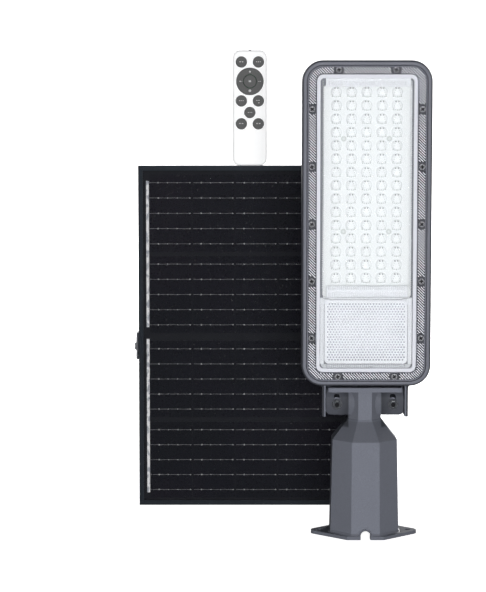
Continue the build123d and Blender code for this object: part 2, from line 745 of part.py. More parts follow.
with BuildPart() as frame_rail_top:
    add(frame_ring.part)
    with BuildSketch(front(200)):
        with BuildLine():
            Polyline((BX0, PH), (BX1, PH), (BX1 - 20, PH - 20), (BX0 + 20, PH - 20), close=True)
        make_face()
    extrude(amount=50, mode=Mode.INTERSECT)
frame_rail_top.part.label = "frame_rail_top"
export_step(frame_rail_top.part, "parts/frame_rail_top.step")

with BuildPart() as frame_rail_bottom:
    add(frame_ring.part)
    with BuildSketch(front(200)):
        with BuildLine():
            Polyline((BX0, 0), (BX1, 0), (BX1 - 20, 20), (BX0 + 20, 20), close=True)
        make_face()
    extrude(amount=50, mode=Mode.INTERSECT)
frame_rail_bottom.part.label = "frame_rail_bottom"
export_step(frame_rail_bottom.part, "parts/frame_rail_bottom.step")

with BuildPart() as corner_keys:
    with BuildSketch(front(183.9)):
        for sx, sz in ((-1, -1), (-1, 1), (1, -1), (1, 1)):
            cx, cz = PX + sx * (PW / 2 - 1.5), PH / 2 + sz * (PH / 2 - 1.5)
            with BuildLine():
                Polyline(
                    (cx, cz), (cx - sx * 20, cz), (cx - sx * 20, cz - sz * 3), (cx - sx * 3, cz - sz * 3),
                    (cx - sx * 3, cz - sz * 20), (cx, cz - sz * 20), close=True,
                )
            make_face()
    extrude(amount=8)
corner_keys.part.label = "corner_keys"
export_step(corner_keys.part, "parts/corner_keys.step")

with BuildPart() as panel_glass:
    with BuildSketch(front(172.95)):
        with Locations((PX, PH / 2)):
            Rectangle(PW - 3.2, PH - 3.2)
    extrude(amount=3.1)
panel_glass.part.label = "panel_glass"
export_step(panel_glass.part, "parts/panel_glass.step")

with BuildPart() as cell_wires:
    with BuildSketch(front(173.15)):
        for z in ROW_Z:
            with Locations(*[(PX, z + k * WIRE_PITCH) for k in range(-2, 3)]):
                Rectangle(2 * (PX - CELL_X0) + 0.4, 0.8)
    extrude(amount=0.2)
cell_wires.part.label = "cell_wires"
export_step(cell_wires.part, "parts/cell_wires.step")

with BuildPart() as busbar_ribbons:
    with BuildSketch(front(173.15)):
        for s in (-1, 1):
            xr = PX + s * (PX - CELL_X0 + 0.2 + 2.2)
            with Locations((xr, (413 + 227.8) / 2)):
                Rectangle(4.4, 413 - 227.8)
            with Locations((xr, (212.8 + 15.3) / 2)):
                Rectangle(4.4, 212.8 - 15.3)
    extrude(amount=0.2)
busbar_ribbons.part.label = "busbar_ribbons"
export_step(busbar_ribbons.part, "parts/busbar_ribbons.step")

with BuildPart() as solar_cells:
    with BuildSketch(front(173.4)):
        for z in ROW_Z:
            with Locations(*[(PX + k * CELL_PITCH_X, z) for k in range(-2, 3)]):
                Rectangle(CELL_W, CELL_H)
    extrude(amount=0.25)
solar_cells.part.label = "solar_cells"
export_step(solar_cells.part, "parts/solar_cells.step")

with BuildPart() as panel_backsheet:
    with BuildSketch(front(174.3)):
        with Locations((PX, PH / 2)):
            Rectangle(PW - 3.2, PH - 3.2)
    extrude(amount=0.9)
panel_backsheet.part.label = "panel_backsheet"
export_step(panel_backsheet.part, "parts/panel_backsheet.step")

with BuildPart() as junction_box:
    with BuildSketch(rear(174.3)):
        with Locations((-PX, 384)):
            RectangleRounded(62, 46, 5)
    extrude(amount=11.7, taper=2)
    with BuildSketch(rear(176)):
        with Locations((-PX, 384)):
            RectangleRounded(56, 40, 3.5)
    extrude(amount=20, mode=Mode.SUBTRACT)
    with BuildSketch(Plane.XY.offset(355)):
        with Locations((PX, 180)):
            Circle(4.05)
    extrude(amount=12, mode=Mode.SUBTRACT)
junction_box.part.label = "junction_box"
export_step(junction_box.part, "parts/junction_box.step")

with BuildPart() as junction_box_lid:
    with BuildSketch(rear(186)):
        with Locations((-PX, 384)):
            RectangleRounded(61, 45, 5)
    extrude(amount=2)
    fillet(junction_box_lid.faces().sort_by(Axis.Y)[-1].edges(), radius=0.8)
    with BuildSketch(rear(184.2)):
        with Locations((-PX, 384)):
            RectangleRounded(55.6, 39.6, 3.3)
            RectangleRounded(52, 36, 2, mode=Mode.SUBTRACT)
    extrude(amount=2)
junction_box_lid.part.label = "junction_box_lid"
export_step(junction_box_lid.part, "parts/junction_box_lid.step")

with BuildPart() as junction_gland:
    with BuildSketch(Plane.XY.offset(367)):
        with Locations((PX, 180)):
            Circle(4.0)
    extrude(amount=-7)
    with BuildSketch(Plane.XY.offset(360.9)):
        with Locations((PX, 180)):
            RegularPolygon(5.0, 6, major_radius=False)
    extrude(amount=-5)
    with BuildSketch(Plane.XY.offset(355.9)):
        with Locations((PX, 180)):
            Circle(4.6)
    extrude(amount=-6, taper=10)
    with BuildSketch(Plane.XY.offset(345)):
        with Locations((PX, 180)):
            Circle(2.2)
    extrude(amount=30, mode=Mode.SUBTRACT)
junction_gland.part.label = "junction_gland"
export_step(junction_gland.part, "parts/junction_gland.step")

with BuildPart() as pivot_bolts:
    for s, plane_x in ((-1, BX0), (1, BX1)):
        out = Plane(origin=(plane_x - s * 8, PIV_Y, PIV_Z), x_dir=(0, 0, 1), z_dir=(s, 0, 0))
        with BuildSketch(out):
            Circle(2.5)
        extrude(amount=8 + 3.6)
        with BuildSketch(out.offset(8 + 3.5)):
            Circle(5.0)
        extrude(amount=2.2, taper=15)
        with BuildSketch(out.offset(8 + 4.6)):
            RegularPolygon(1.5, 6, major_radius=False)
        extrude(amount=3, mode=Mode.SUBTRACT)
        # lock nut inside the rail
        with BuildSketch(out.offset(8 - 1.45 - 4.2)):
            RegularPolygon(3.95, 6, major_radius=False, rotation=0)
        extrude(amount=4.2)
pivot_bolts.part.label = "pivot_bolts"
export_step(pivot_bolts.part, "parts/pivot_bolts.step")

with BuildPart() as pivot_washers:
    for s, plane_x in ((-1, BX0), (1, BX1)):
        out = Plane(origin=(plane_x, PIV_Y, PIV_Z), x_dir=(0, 0, 1), z_dir=(s, 0, 0))
        with BuildSketch(out.offset(0.05)):
            Circle(5.2)
            Circle(2.55, mode=Mode.SUBTRACT)
        extrude(amount=0.6)
pivot_washers.part.label = "pivot_washers"
export_step(pivot_washers.part, "parts/pivot_washers.step")

# ========================================================================= remote
RTOP = RZ0 + RL
KEYS = {
    "key_on": (-10.65, 14.4), "key_off": (10.65, 14.4), "key_left_a": (-10.65, 62.9), "key_right_a": (10.65, 62.9),
    "key_middle": (0.0, 77.4), "key_left_b": (-10.65, 91.5), "key_right_b": (10.65, 91.5),
}
RING_DZ, RING_R, MODE_R, KEY_R = 38.6, 16.9, 8.0, 6.8
KEY_SPOTS = [(RX + x, RTOP - dz) for x, dz in KEYS.values()]

with BuildPart() as remote_blank:
    with BuildSketch(front(RY1)):
        with Locations((RX, RZ0 + RL / 2)):
            RectangleRounded(RW, RL, 9)
    extrude(amount=RY1 - RY0)
    fillet(
        remote_blank.faces().sort_by(Axis.Y)[-1].edges() + remote_blank.faces().sort_by(Axis.Y)[0].edges(), radius=3.2
    )

with BuildPart() as remote_cavity:
    with BuildSketch(front(RY1 - 1.8)):
        with Locations((RX, RZ0 + RL / 2)):
            RectangleRounded(RW - 3.6, RL - 3.6, 7.2)
    extrude(amount=RY1 - RY0 - 3.6)
    fillet(
        remote_cavity.faces().sort_by(Axis.Y)[-1].edges() + remote_cavity.faces().sort_by(Axis.Y)[0].edges(), radius=1.4
    )

with BuildPart() as remote_front_shell:
    add(remote_blank.part)
    add(remote_cavity.part, mode=Mode.SUBTRACT)
    with Locations((RX, RYS + 10, RZ0 + RL / 2)):
        Box(60, 20, 200, mode=Mode.SUBTRACT)
    with BuildSketch(front(175)):
        with Locations(*KEY_SPOTS):
            Circle(KEY_R + 0.3)
        with Locations((RX, RTOP - RING_DZ)):
            Circle(RING_R + 0.3)
    extrude(amount=10, mode=Mode.SUBTRACT)
    with BuildSketch(Plane.XY.offset(RTOP - 6)):
        with Locations((RX, 173.9)):
            Circle(2.55)
    extrude(amount=10, mode=Mode.SUBTRACT)
remote_front_shell.part.label = "remote_front_shell"
export_step(remote_front_shell.part, "parts/remote_front_shell.step")

with BuildPart() as remote_rear_shell:
    add(remote_blank.part)
    add(remote_cavity.part, mode=Mode.SUBTRACT)
    with Locations((RX, RYS - 10, RZ0 + RL / 2)):
        Box(60, 20, 200, mode=Mode.SUBTRACT)
    with BuildSketch(front(190)):
        with Locations((RX, 460)):
            RectangleRounded(28, 40, 2)
    extrude(amount=10, mode=Mode.SUBTRACT)
    # posts that carry the board
    with BuildSketch(front(RY1 - 1.7)):
        with Locations((RX - 14, 505), (RX + 14, 505), (RX - 14, 560), (RX + 14, 560)):
            Circle(1.8)
    extrude(amount=RY1 - 1.7 - 175.8)
remote_rear_shell.part.label = "remote_rear_shell"
export_step(remote_rear_shell.part, "parts/remote_rear_shell.step")

with BuildPart() as remote_battery_door:
    with BuildSketch(front(RY1)):
        with Locations((RX, 460)):
            RectangleRounded(27.4, 39.4, 1.8)
    extrude(amount=1.8)
    with BuildSketch(rear(RY1 - 0.7)):
        with Locations(*[(-RX, 470 + 2.4 * k) for k in range(4)]):
            SlotOverall(14, 1.2)
    extrude(amount=2, mode=Mode.SUBTRACT)
    with BuildSketch(front(RY1 - 1.7)):
        with Locations((RX - 11.8, 462), (RX + 11.8, 462)):
            Rectangle(1.2, 8)
    extrude(amount=3)
remote_battery_door.part.label = "remote_battery_door"
export_step(remote_battery_door.part, "parts/remote_battery_door.step")

with BuildPart() as remote_board:
    with BuildSketch(front(175.8)):
        with Locations((RX, 503)):
            Rectangle(36, 132)
    extrude(amount=1.2)
    # metal snap domes under the keys
    with BuildSketch(front(174.6)):
        with Locations(*KEY_SPOTS):
            Circle(3)
        with Locations((RX, RTOP - RING_DZ)):
            Circle(3)
        with Locations(*[(RX + 12.5 * cos(radians(a)), RTOP - RING_DZ + 12.5 * sin(radians(a))) for a in (0, 90, 180, 270)]):
            Circle(2)
    extrude(amount=0.2)
remote_board.part.label = "remote_board"
export_step(remote_board.part, "parts/remote_board.step")

with BuildPart() as remote_cell:
    with BuildSketch(front(178.5)):
        with Locations((RX, 458)):
            Circle(10)
    extrude(amount=2.7)
remote_cell.part.label = "remote_cell"
export_step(remote_cell.part, "parts/remote_cell.step")

with BuildPart() as remote_ir_led:
    with BuildSketch(Plane.XY.offset(RTOP - 4.8)):
        with Locations((RX, 173.9)):
            Circle(2.5)
    extrude(amount=5.4)
    fillet(remote_ir_led.faces().sort_by(Axis.Z)[-1].edges(), radius=1.6)
remote_ir_led.part.label = "remote_ir_led"
export_step(remote_ir_led.part, "parts/remote_ir_led.step")


# seven small round keys: cap, retaining flange and stem
for name, (kx, kdz) in KEYS.items():
    with BuildPart() as key:
        with BuildSketch(front(172.4)):
            with Locations((RX + kx, RTOP - kdz)):
                Circle(KEY_R)
        extrude(amount=172.4 - 168.2)
        fillet(key.faces().sort_by(Axis.Y)[0].edges(), radius=0.8)
        with BuildSketch(front(172.4)):
            with Locations((RX + kx, RTOP - kdz)):
                Circle(KEY_R + 0.8)
        extrude(amount=0.8)
        with BuildSketch(front(173.4)):
            with Locations((RX + kx, RTOP - kdz)):
                Circle(2.2)
        extrude(amount=1.1)
    key.part.label = name
    export_step(key.part, f"parts/{name}.step")

with BuildPart() as key_mode:
    with BuildSketch(front(172.4)):
        with Locations((RX, RTOP - RING_DZ)):
            Circle(MODE_R)
    extrude(amount=172.4 - 168.0)
    fillet(key_mode.faces().sort_by(Axis.Y)[0].edges(), radius=0.9)
    with BuildSketch(front(173.4)):
        with Locations((RX, RTOP - RING_DZ)):
            Circle(2.6)
    extrude(amount=1.1)
key_mode.part.label = "key_mode"
export_step(key_mode.part, "parts/key_mode.step")

with BuildPart() as key_ring:
    with BuildSketch(front(172.4)):
        with Locations((RX, RTOP - RING_DZ)):
            Circle(RING_R)
            Circle(MODE_R + 0.5, mode=Mode.SUBTRACT)
    extrude(amount=172.4 - 168.4)
    fillet(key_ring.faces().sort_by(Axis.Y)[0].edges(), radius=0.7)
    with BuildSketch(front(172.4)):
        with Locations((RX, RTOP - RING_DZ)):
            Circle(RING_R + 1.0)
            Circle(MODE_R + 0.5, mode=Mode.SUBTRACT)
    extrude(amount=0.8)
    with BuildSketch(front(173.4)):
        with Locations(*[(RX + 12.5 * cos(radians(a)), RTOP - RING_DZ + 12.5 * sin(radians(a))) for a in (0, 90, 180, 270)]):
            Circle(1.6)
    extrude(amount=1.1)
key_ring.part.label = "key_ring"
export_step(key_ring.part, "parts/key_ring.step")
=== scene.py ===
import json
import math
import random

import bmesh
import bpy
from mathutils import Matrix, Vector


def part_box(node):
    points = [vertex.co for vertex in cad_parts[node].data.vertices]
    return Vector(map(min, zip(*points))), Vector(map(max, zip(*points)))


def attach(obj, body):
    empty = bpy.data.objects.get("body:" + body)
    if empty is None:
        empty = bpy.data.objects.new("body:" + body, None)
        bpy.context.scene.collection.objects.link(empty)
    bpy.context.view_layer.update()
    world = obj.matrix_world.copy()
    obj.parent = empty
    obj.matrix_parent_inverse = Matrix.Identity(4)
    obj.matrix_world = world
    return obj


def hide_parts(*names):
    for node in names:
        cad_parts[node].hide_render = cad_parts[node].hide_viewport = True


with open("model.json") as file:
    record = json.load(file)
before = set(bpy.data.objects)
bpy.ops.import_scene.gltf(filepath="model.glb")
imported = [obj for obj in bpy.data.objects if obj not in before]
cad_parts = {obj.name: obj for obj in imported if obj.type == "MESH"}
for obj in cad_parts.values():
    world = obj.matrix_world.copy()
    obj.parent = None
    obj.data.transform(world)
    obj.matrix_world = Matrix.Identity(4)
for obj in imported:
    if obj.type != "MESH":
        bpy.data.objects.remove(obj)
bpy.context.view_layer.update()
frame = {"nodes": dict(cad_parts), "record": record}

MM = 0.001
scene = bpy.context.scene
NODES = frame["nodes"]
rnd = random.Random(7)


# ---------------------------------------------------------------- places read from the frame
def mm_box(node):
    lo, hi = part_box(node)
    return lo / MM, hi / MM


bez_lo, bez_hi = mm_box("front_bezel")
ZC = (bez_lo.z + bez_hi.z) / 2
Y_FRONT = bez_lo.y
tube_lo, tube_hi = mm_box("spigot_casting")
lens_lo, lens_hi = mm_box("front_lens")
plate_lo, plate_hi = mm_box("lens_array")
diff_lo, diff_hi = mm_box("diffuser_plate")
cell_lo, cell_hi = mm_box("solar_cells")
glass_lo, glass_hi = mm_box("panel_glass")

SCREW_X, SCREW_DZ, SCREW_PITCH, SCREW_TX = 63.8, 178.4, 66.55, 33.1
BEZEL_SCREWS = (
    [(-SCREW_X, ZC + k * SCREW_PITCH) for k in range(-2, 3)]
    + [(SCREW_X, ZC + k * SCREW_PITCH) for k in range(-2, 3)]
    + [(x, ZC + s * SCREW_DZ) for x in (-SCREW_TX, SCREW_TX) for s in (-1, 1)]
)
LED_PX, LED_PZ, LED_Z0 = 17.7, 15.46, 307.1
LEDS = [(c * LED_PX, LED_Z0 + r * LED_PZ) for c in range(-2, 3) for r in range(15)]
BOARD_SCREWS = [(s * 1.5 * LED_PX, LED_Z0 + k * LED_PZ) for s in (-1, 1) for k in (3.5, 10.5)]


# ---------------------------------------------------------------- node material helpers
class Mat:
    """A Principled material with a few short ways to drive it from patterns."""

    def __init__(self, name, rough=0.5, metal=0.0, **sockets):
        self.m = bpy.data.materials.new(name)
        self.m.use_nodes = True
        self.nt = self.m.node_tree
        self.nt.nodes.clear()
        self.out = self.nt.nodes.new("ShaderNodeOutputMaterial")
        self.b = self.nt.nodes.new("ShaderNodeBsdfPrincipled")
        self.nt.links.new(self.b.outputs[0], self.out.inputs[0])
        self.b.inputs["Roughness"].default_value = rough
        self.b.inputs["Metallic"].default_value = metal
        for k, v in sockets.items():
            self.b.inputs[k.replace("_", " ")].default_value = v
        self.tc = self.nt.nodes.new("ShaderNodeTexCoord")

    def link(self, a, b):
        self.nt.links.new(a, b)

    def node(self, kind, **props):
        n = self.nt.nodes.new(kind)
        for k, v in props.items():
            setattr(n, k, v)
        return n

    def coords(self, scale=(1, 1, 1), rot=(0, 0, 0)):
        mp = self.node("ShaderNodeMapping")
        mp.inputs["Scale"].default_value = scale
        mp.inputs["Rotation"].default_value = rot
        self.link(self.tc.outputs["Object"], mp.inputs["Vector"])
        return mp.outputs[0]

    def noise(self, scale, detail=3.0, rough=0.55, stretch=(1, 1, 1), distort=0.0):
        n = self.node("ShaderNodeTexNoise")
        n.inputs["Scale"].default_value = scale
        n.inputs["Detail"].default_value = detail
        n.inputs["Roughness"].default_value = rough
        n.inputs["Distortion"].default_value = distort
        self.link(self.coords(stretch), n.inputs["Vector"])
        return n.outputs["Fac"]

    def voronoi(self, scale, feature="F1"):
        n = self.node("ShaderNodeTexVoronoi", feature=feature)
        n.inputs["Scale"].default_value = scale
        self.link(self.coords(), n.inputs["Vector"])
        return n.outputs["Distance"]

    def ramp(self, fac, stops):
        r = self.node("ShaderNodeValToRGB")
        els = r.color_ramp.elements
        while len(els) < len(stops):
            els.new(0.5)
        for e, (p, c) in zip(els, stops):
            e.position = p
            e.color = (c[0], c[1], c[2], 1) if hasattr(c, "__len__") else (c, c, c, 1)
        self.link(fac, r.inputs[0])
        return r.outputs["Color"]

    def remap(self, fac, a, b, c, d):
        n = self.node("ShaderNodeMapRange")
        for i, v in zip((1, 2, 3, 4), (a, b, c, d)):
            n.inputs[i].default_value = v
        self.link(fac, n.inputs[0])
        return n.outputs[0]

    def mix(self, fac, a, b, mode="MIX"):
        n = self.node("ShaderNodeMix", data_type="RGBA", blend_type=mode)
        if isinstance(fac, (int, float)):
            n.inputs[0].default_value = fac
        else:
            self.link(fac, n.inputs[0])
        for i, v in ((6, a), (7, b)):
            if hasattr(v, "__len__"):
                n.inputs[i].default_value = (v[0], v[1], v[2], 1)
            else:
                self.link(v, n.inputs[i])
        return n.outputs[2]

    def math(self, op, a, b=None, clamp=False):
        n = self.node("ShaderNodeMath", operation=op)
        n.use_clamp = clamp
        for i, v in enumerate((a, b)):
            if v is None:
                continue
            if isinstance(v, (int, float)):
                n.inputs[i].default_value = v
            else:
                self.link(v, n.inputs[i])
        return n.outputs[0]

    def xyz(self):
        s = self.node("ShaderNodeSeparateXYZ")
        self.link(self.tc.outputs["Object"], s.inputs[0])
        return s.outputs

    def attr(self, name):
        n = self.node("ShaderNodeAttribute", attribute_name=name)
        return n.outputs["Fac"]

    def soft_edges(self, radius):
        n = self.node("ShaderNodeBevel", samples=4)
        n.inputs["Radius"].default_value = radius
        return n.outputs[0]

    def edge_mask(self, rounded):
        """0 on flat ground and up to 1 where the rounded normal leaves the face's own."""
        g = self.node("ShaderNodeNewGeometry")
        d = self.node("ShaderNodeVectorMath", operation="DOT_PRODUCT")
        self.link(rounded, d.inputs[0])
        self.link(g.outputs["Normal"], d.inputs[1])
        return self.remap(d.outputs["Value"], 1.0, 0.86, 0.0, 1.0)

    def bump(self, height, strength, distance, normal=None):
        n = self.node("ShaderNodeBump")
        n.inputs["Strength"].default_value = strength
        n.inputs["Distance"].default_value = distance
        self.link(height, n.inputs["Height"])
        if normal is not None:
            self.link(normal, n.inputs["Normal"])
        self.link(n.outputs[0], self.b.inputs["Normal"])
        return n.outputs[0]

    def colour(self, c):
        self.link(c, self.b.inputs["Base Color"])

    def rough(self, fac, a, b, c, d):
        self.link(self.remap(fac, a, b, c, d), self.b.inputs["Roughness"])


def tone(c, k):
    return tuple(min(1.0, x * k) for x in c)


def powder(name, base, grain=1500.0, contrast=0.20, edge=0.22, strength=0.30, radius=0.0007, rough=0.52, metal=0.0, painted_shade=0.0, cheek_shade=0.0):
    """Fine powder coat: speckled tone, orange-peel bump, a painted highlight along the edges, and painted shade by
    position where asked.
    """
    m = Mat(name, rough=rough, metal=metal)
    fine = m.noise(grain, 4.0, 0.62)
    broad = m.noise(38.0, 3.0, 0.5)
    speck = m.voronoi(grain * 0.9)
    c = m.ramp(fine, [(0.32, tone(base, 1 - contrast)), (0.68, tone(base, 1 + contrast))])
    c = m.mix(m.remap(broad, 0.35, 0.7, 0.0, 0.16), c, tone(base, 0.78))
    c = m.mix(m.remap(speck, 0.0, 0.32, 0.16, 0.0), c, tone(base, 1.7))
    rounded = m.soft_edges(radius)
    # painted highlight: lighter where the rounded normal leaves the face's own
    c = m.mix(m.math("MULTIPLY", m.edge_mask(rounded), edge), c, tone(base, 2.2))
    # painted shade on the socket casting by position: neck sides and ears under the head, frustum slope, tube sides and
    # foot
    if painted_shade:
        x, _, z = m.xyz()
        wide = m.math("ABSOLUTE", x)
        neck = m.math("MULTIPLY", m.remap(z, 0.1360, 0.1385, 0.0, 1.0), m.remap(z, 0.1722, 0.1705, 0.0, 1.0))
        near = m.math("MULTIPLY", m.math("MULTIPLY", m.remap(wide, 0.0076, 0.0084, 0.0, 0.32), neck), painted_shade)
        ears = m.math("MULTIPLY", m.remap(z, 0.1290, 0.1310, 0.0, 1.0), m.remap(z, 0.1722, 0.1705, 0.0, 1.0))
        rim = m.remap(wide, 0.0185, 0.0200, 0.0, 1.0)
        painted_light_blotch = m.remap(wide, 0.0200, 0.0330, 0.75, 0.42)
        far = m.math("MULTIPLY", m.math("MULTIPLY", m.math("MULTIPLY", rim, painted_light_blotch), ears), painted_shade)
        slope = m.math("MULTIPLY", m.remap(z, 0.1140, 0.1155, 0.0, 0.34), m.remap(z, 0.1372, 0.1362, 0.0, 1.0))
        c = m.mix(m.math("MULTIPLY", slope, painted_shade), c, tone(base, 0.10))
        tube = m.math("MULTIPLY", m.remap(wide, 0.0166, 0.0172, 0.0, 0.16), m.remap(z, 0.1150, 0.1140, 0.0, 1.0))
        foot = m.remap(z, 0.0050, 0.0042, 0.0, 0.24)
        c = m.mix(m.math("MAXIMUM", tube, foot), c, tone(base, 0.10))
        c = m.mix(near, c, tone(base, 0.10))
        c = m.mix(far, c, tone(base, 0.08))
    # painted shade on the front lips of the housing's side walls below the head
    if cheek_shade:
        x, y, z = m.xyz()
        lip = m.math("MULTIPLY", m.remap(m.math("ABSOLUTE", x), 0.0480, 0.0486, 0.0, cheek_shade), m.remap(y, -0.0185, -0.0190, 0.0, 1.0))
        low = m.math("MULTIPLY", m.remap(z, 0.1420, 0.1424, 0.0, 1.0), m.remap(z, 0.1822, 0.1810, 0.0, 1.0))
        c = m.mix(m.math("MULTIPLY", lip, low), c, tone(base, 0.10))
    m.colour(c)
    m.rough(fine, 0.3, 0.7, rough - 0.07, rough + 0.09)
    m.bump(m.math("ADD", fine, m.math("MULTIPLY", speck, 0.5)), strength, 0.00022, rounded)
    return m


CAST = (0.160, 0.170, 0.205)
mat_casting = powder("casting_powder_coat", CAST)
# the socket casting's colour carries painted shade by position
mat_socket_casting = powder("socket_powder_coat", CAST, edge=0.12, painted_shade=1.0)
# the housing's colour carries painted shade on its side-wall lips
mat_housing = powder("housing_powder_coat", CAST, cheek_shade=0.86)
mat_dark_casting = powder("casting_shadow_tone", tone(CAST, 0.72))

# bezel: satin paint with painted shade in the sunk band, the groove and on faces turned sideways, and a painted
# highlight on the edges
m = Mat("bezel_satin_coat", rough=0.42)
fine = m.noise(1900.0, 4.0, 0.6)
broad = m.noise(45.0, 2.0, 0.5)
c = m.ramp(fine, [(0.3, (0.150, 0.157, 0.187)), (0.7, (0.205, 0.212, 0.248))])
c = m.mix(m.remap(broad, 0.35, 0.7, 0.0, 0.14), c, (0.12, 0.125, 0.15))
# painted shade: darker with depth below the front face
depth = m.remap(m.xyz()[1], (Y_FRONT + 0.5) * MM, (Y_FRONT + 1.35) * MM, 0.0, 1.0)
c = m.mix(m.math("MULTIPLY", depth, 0.86), c, (0.030, 0.032, 0.042))
# painted shade on the floor of the ridge band along its sides and ends
bx, _, bz = m.xyz()
wide = m.math("ABSOLUTE", bx)
tall = m.math("ABSOLUTE", m.math("SUBTRACT", bz, ZC * MM))
sides = m.math("MULTIPLY", m.math("MULTIPLY", m.remap(wide, 0.0589, 0.0593, 0.0, 1.0), m.remap(wide, 0.0683, 0.0680, 0.0, 1.0)), m.remap(tall, 0.152, 0.151, 0.0, 1.0))
ends = m.math("MULTIPLY", m.math("MULTIPLY", m.remap(tall, 0.1736, 0.1740, 0.0, 1.0), m.remap(tall, 0.1823, 0.1820, 0.0, 1.0)), m.remap(wide, 0.046, 0.045, 0.0, 1.0))
c = m.mix(m.math("MULTIPLY", m.math("MAXIMUM", sides, ends), 0.62), c, (0.030, 0.031, 0.038))
# painted shade on faces turned sideways, away from the front
face = m.node("ShaderNodeSeparateXYZ")
m.link(m.tc.outputs["Normal"], face.inputs[0])
c = m.mix(m.remap(face.outputs[1], -0.80, -0.30, 0.0, 0.34), c, (0.030, 0.031, 0.038))
# painted highlight along the rounded edges
rounded = m.soft_edges(0.0008)
c = m.mix(m.math("MULTIPLY", m.edge_mask(rounded), 0.26), c, (0.34, 0.35, 0.39))
m.colour(c)
m.rough(fine, 0.3, 0.7, 0.34, 0.48)
m.bump(fine, 0.22, 0.00018, rounded)
mat_bezel = m

# ridges: the near-white tops are a painted highlight on the bezel's own satin paint, with painted shade towards the
# base
m = Mat("ridge_satin_painted_highlight", rough=0.34)
fine = m.noise(1400.0, 3.0, 0.6)
c = m.ramp(fine, [(0.3, (0.84, 0.85, 0.93)), (0.7, (0.93, 0.94, 1.0))])
depth = m.remap(m.xyz()[1], (Y_FRONT + 0.36) * MM, (Y_FRONT + 0.9) * MM, 0.0, 1.0)
c = m.mix(m.math("MULTIPLY", depth, 0.97), c, (0.02, 0.021, 0.027))
m.colour(c)
m.rough(fine, 0.3, 0.7, 0.28, 0.42)
m.bump(fine, 0.18, 0.00015)
mat_ridge = m


def metal(name, base, rough=0.26, brushed=(1, 1, 1), strength=0.15):
    m = Mat(name, rough=rough, metal=1.0)
    n = m.noise(1100.0, 4.0, 0.6, stretch=brushed)
    spots = m.noise(260.0, 2.0, 0.5)
    c = m.ramp(n, [(0.3, tone(base, 0.84)), (0.7, tone(base, 1.08))])
    c = m.mix(m.remap(spots, 0.45, 0.75, 0.0, 0.3), c, tone(base, 0.62))
    m.colour(c)
    rounded = m.soft_edges(0.00035)
    m.rough(n, 0.3, 0.7, rough - 0.07, rough + 0.1)
    m.bump(n, strength, 0.00008, rounded)
    return m


mat_zinc = metal("bright_zinc_plate", (0.80, 0.81, 0.83), 0.24)
mat_screw = metal("satin_stainless", (0.60, 0.61, 0.65), 0.24)
mat_screw.b.inputs["Metallic"].default_value = 0.6
mat_socket = metal("stainless_head", (0.74, 0.76, 0.80), 0.26)
# painted shade: a darker copy of the stainless for the tilt screw heads under the head
mat_tilt_head = metal("stainless_tilt_head_painted_shade", (0.50, 0.515, 0.55), 0.30)
mat_socket.b.inputs["Metallic"].default_value = 0.45
mat_dull_steel = metal("dull_washer_steel", (0.12, 0.125, 0.14), 0.4)
mat_dull_steel.b.inputs["Metallic"].default_value = 0.3
mat_nickel = metal("nickel_plate", (0.74, 0.72, 0.68), 0.2)
mat_tin = metal("tinned_copper", (0.92, 0.93, 0.95), 0.34, (1, 1, 0.2))


def plastic(name, base, rough=0.4, contrast=0.06, grain=1300.0, strength=0.1, edge=0.1, radius=0.0004, **sockets):
    m = Mat(name, rough=rough, **sockets)
    fine = m.noise(grain, 3.0, 0.6)
    broad = m.noise(55.0, 2.0, 0.5)
    c = m.ramp(fine, [(0.3, tone(base, 1 - contrast)), (0.7, tone(base, 1 + contrast))])
    c = m.mix(m.remap(broad, 0.35, 0.7, 0.0, 0.25), c, tone(base, 1 - 1.5 * contrast))
    # painted highlight: lighter where the rounded normal leaves the face's own
    rounded = m.soft_edges(radius)
    c = m.mix(m.math("MULTIPLY", m.edge_mask(rounded), edge), c, tone(base, 1.8))
    m.colour(c)
    m.rough(fine, 0.3, 0.7, max(0.04, rough - 0.06), rough + 0.08)
    m.bump(fine, strength, 0.00012, rounded)
    return m


mat_black = plastic("moulded_black_nylon", (0.020, 0.021, 0.024), 0.5, 0.25, 1600.0, 0.3, 0.25)
mat_washer = plastic("nylon_washer", (0.035, 0.036, 0.04), 0.45, 0.2)
mat_silicone = plastic("white_silicone", (0.72, 0.735, 0.80), 0.5, 0.04, 900.0, 0.12)
mat_remote = plastic("remote_white_abs", (0.975, 0.98, 0.985), 0.36, 0.012, 2200.0, 0.12, 0.0)
# painted glow: a faint emission brightens the white remote, which is no lamp
mat_remote.b.inputs["Emission Color"].default_value = (1.0, 1.0, 1.0, 1.0)
mat_remote.b.inputs["Emission Strength"].default_value = 0.07
mat_remote_back = plastic("remote_white_abs_back", (0.66, 0.665, 0.675), 0.42, 0.02, 2200.0, 0.12, 0.06)
mat_key = plastic("key_silicone", (0.112, 0.113, 0.113), 0.62, 0.16, 2000.0, 0.35, 0.12)
mat_mark = plastic("key_print", (0.56, 0.56, 0.57), 0.5, 0.05)
mat_led_board = plastic("white_solder_mask", (0.80, 0.815, 0.84), 0.38, 0.03, 600.0)
mat_smoked = plastic("smoked_epoxy", (0.030, 0.022, 0.040), 0.12, 0.2, 400.0, 0.04)
mat_cell_wrap = plastic("cell_shrink_wrap", (0.03, 0.12, 0.40), 0.28, 0.12, 300.0, 0.12)
mat_backsheet = plastic("panel_backsheet_film", (0.022, 0.023, 0.027), 0.55, 0.25, 900.0, 0.3)

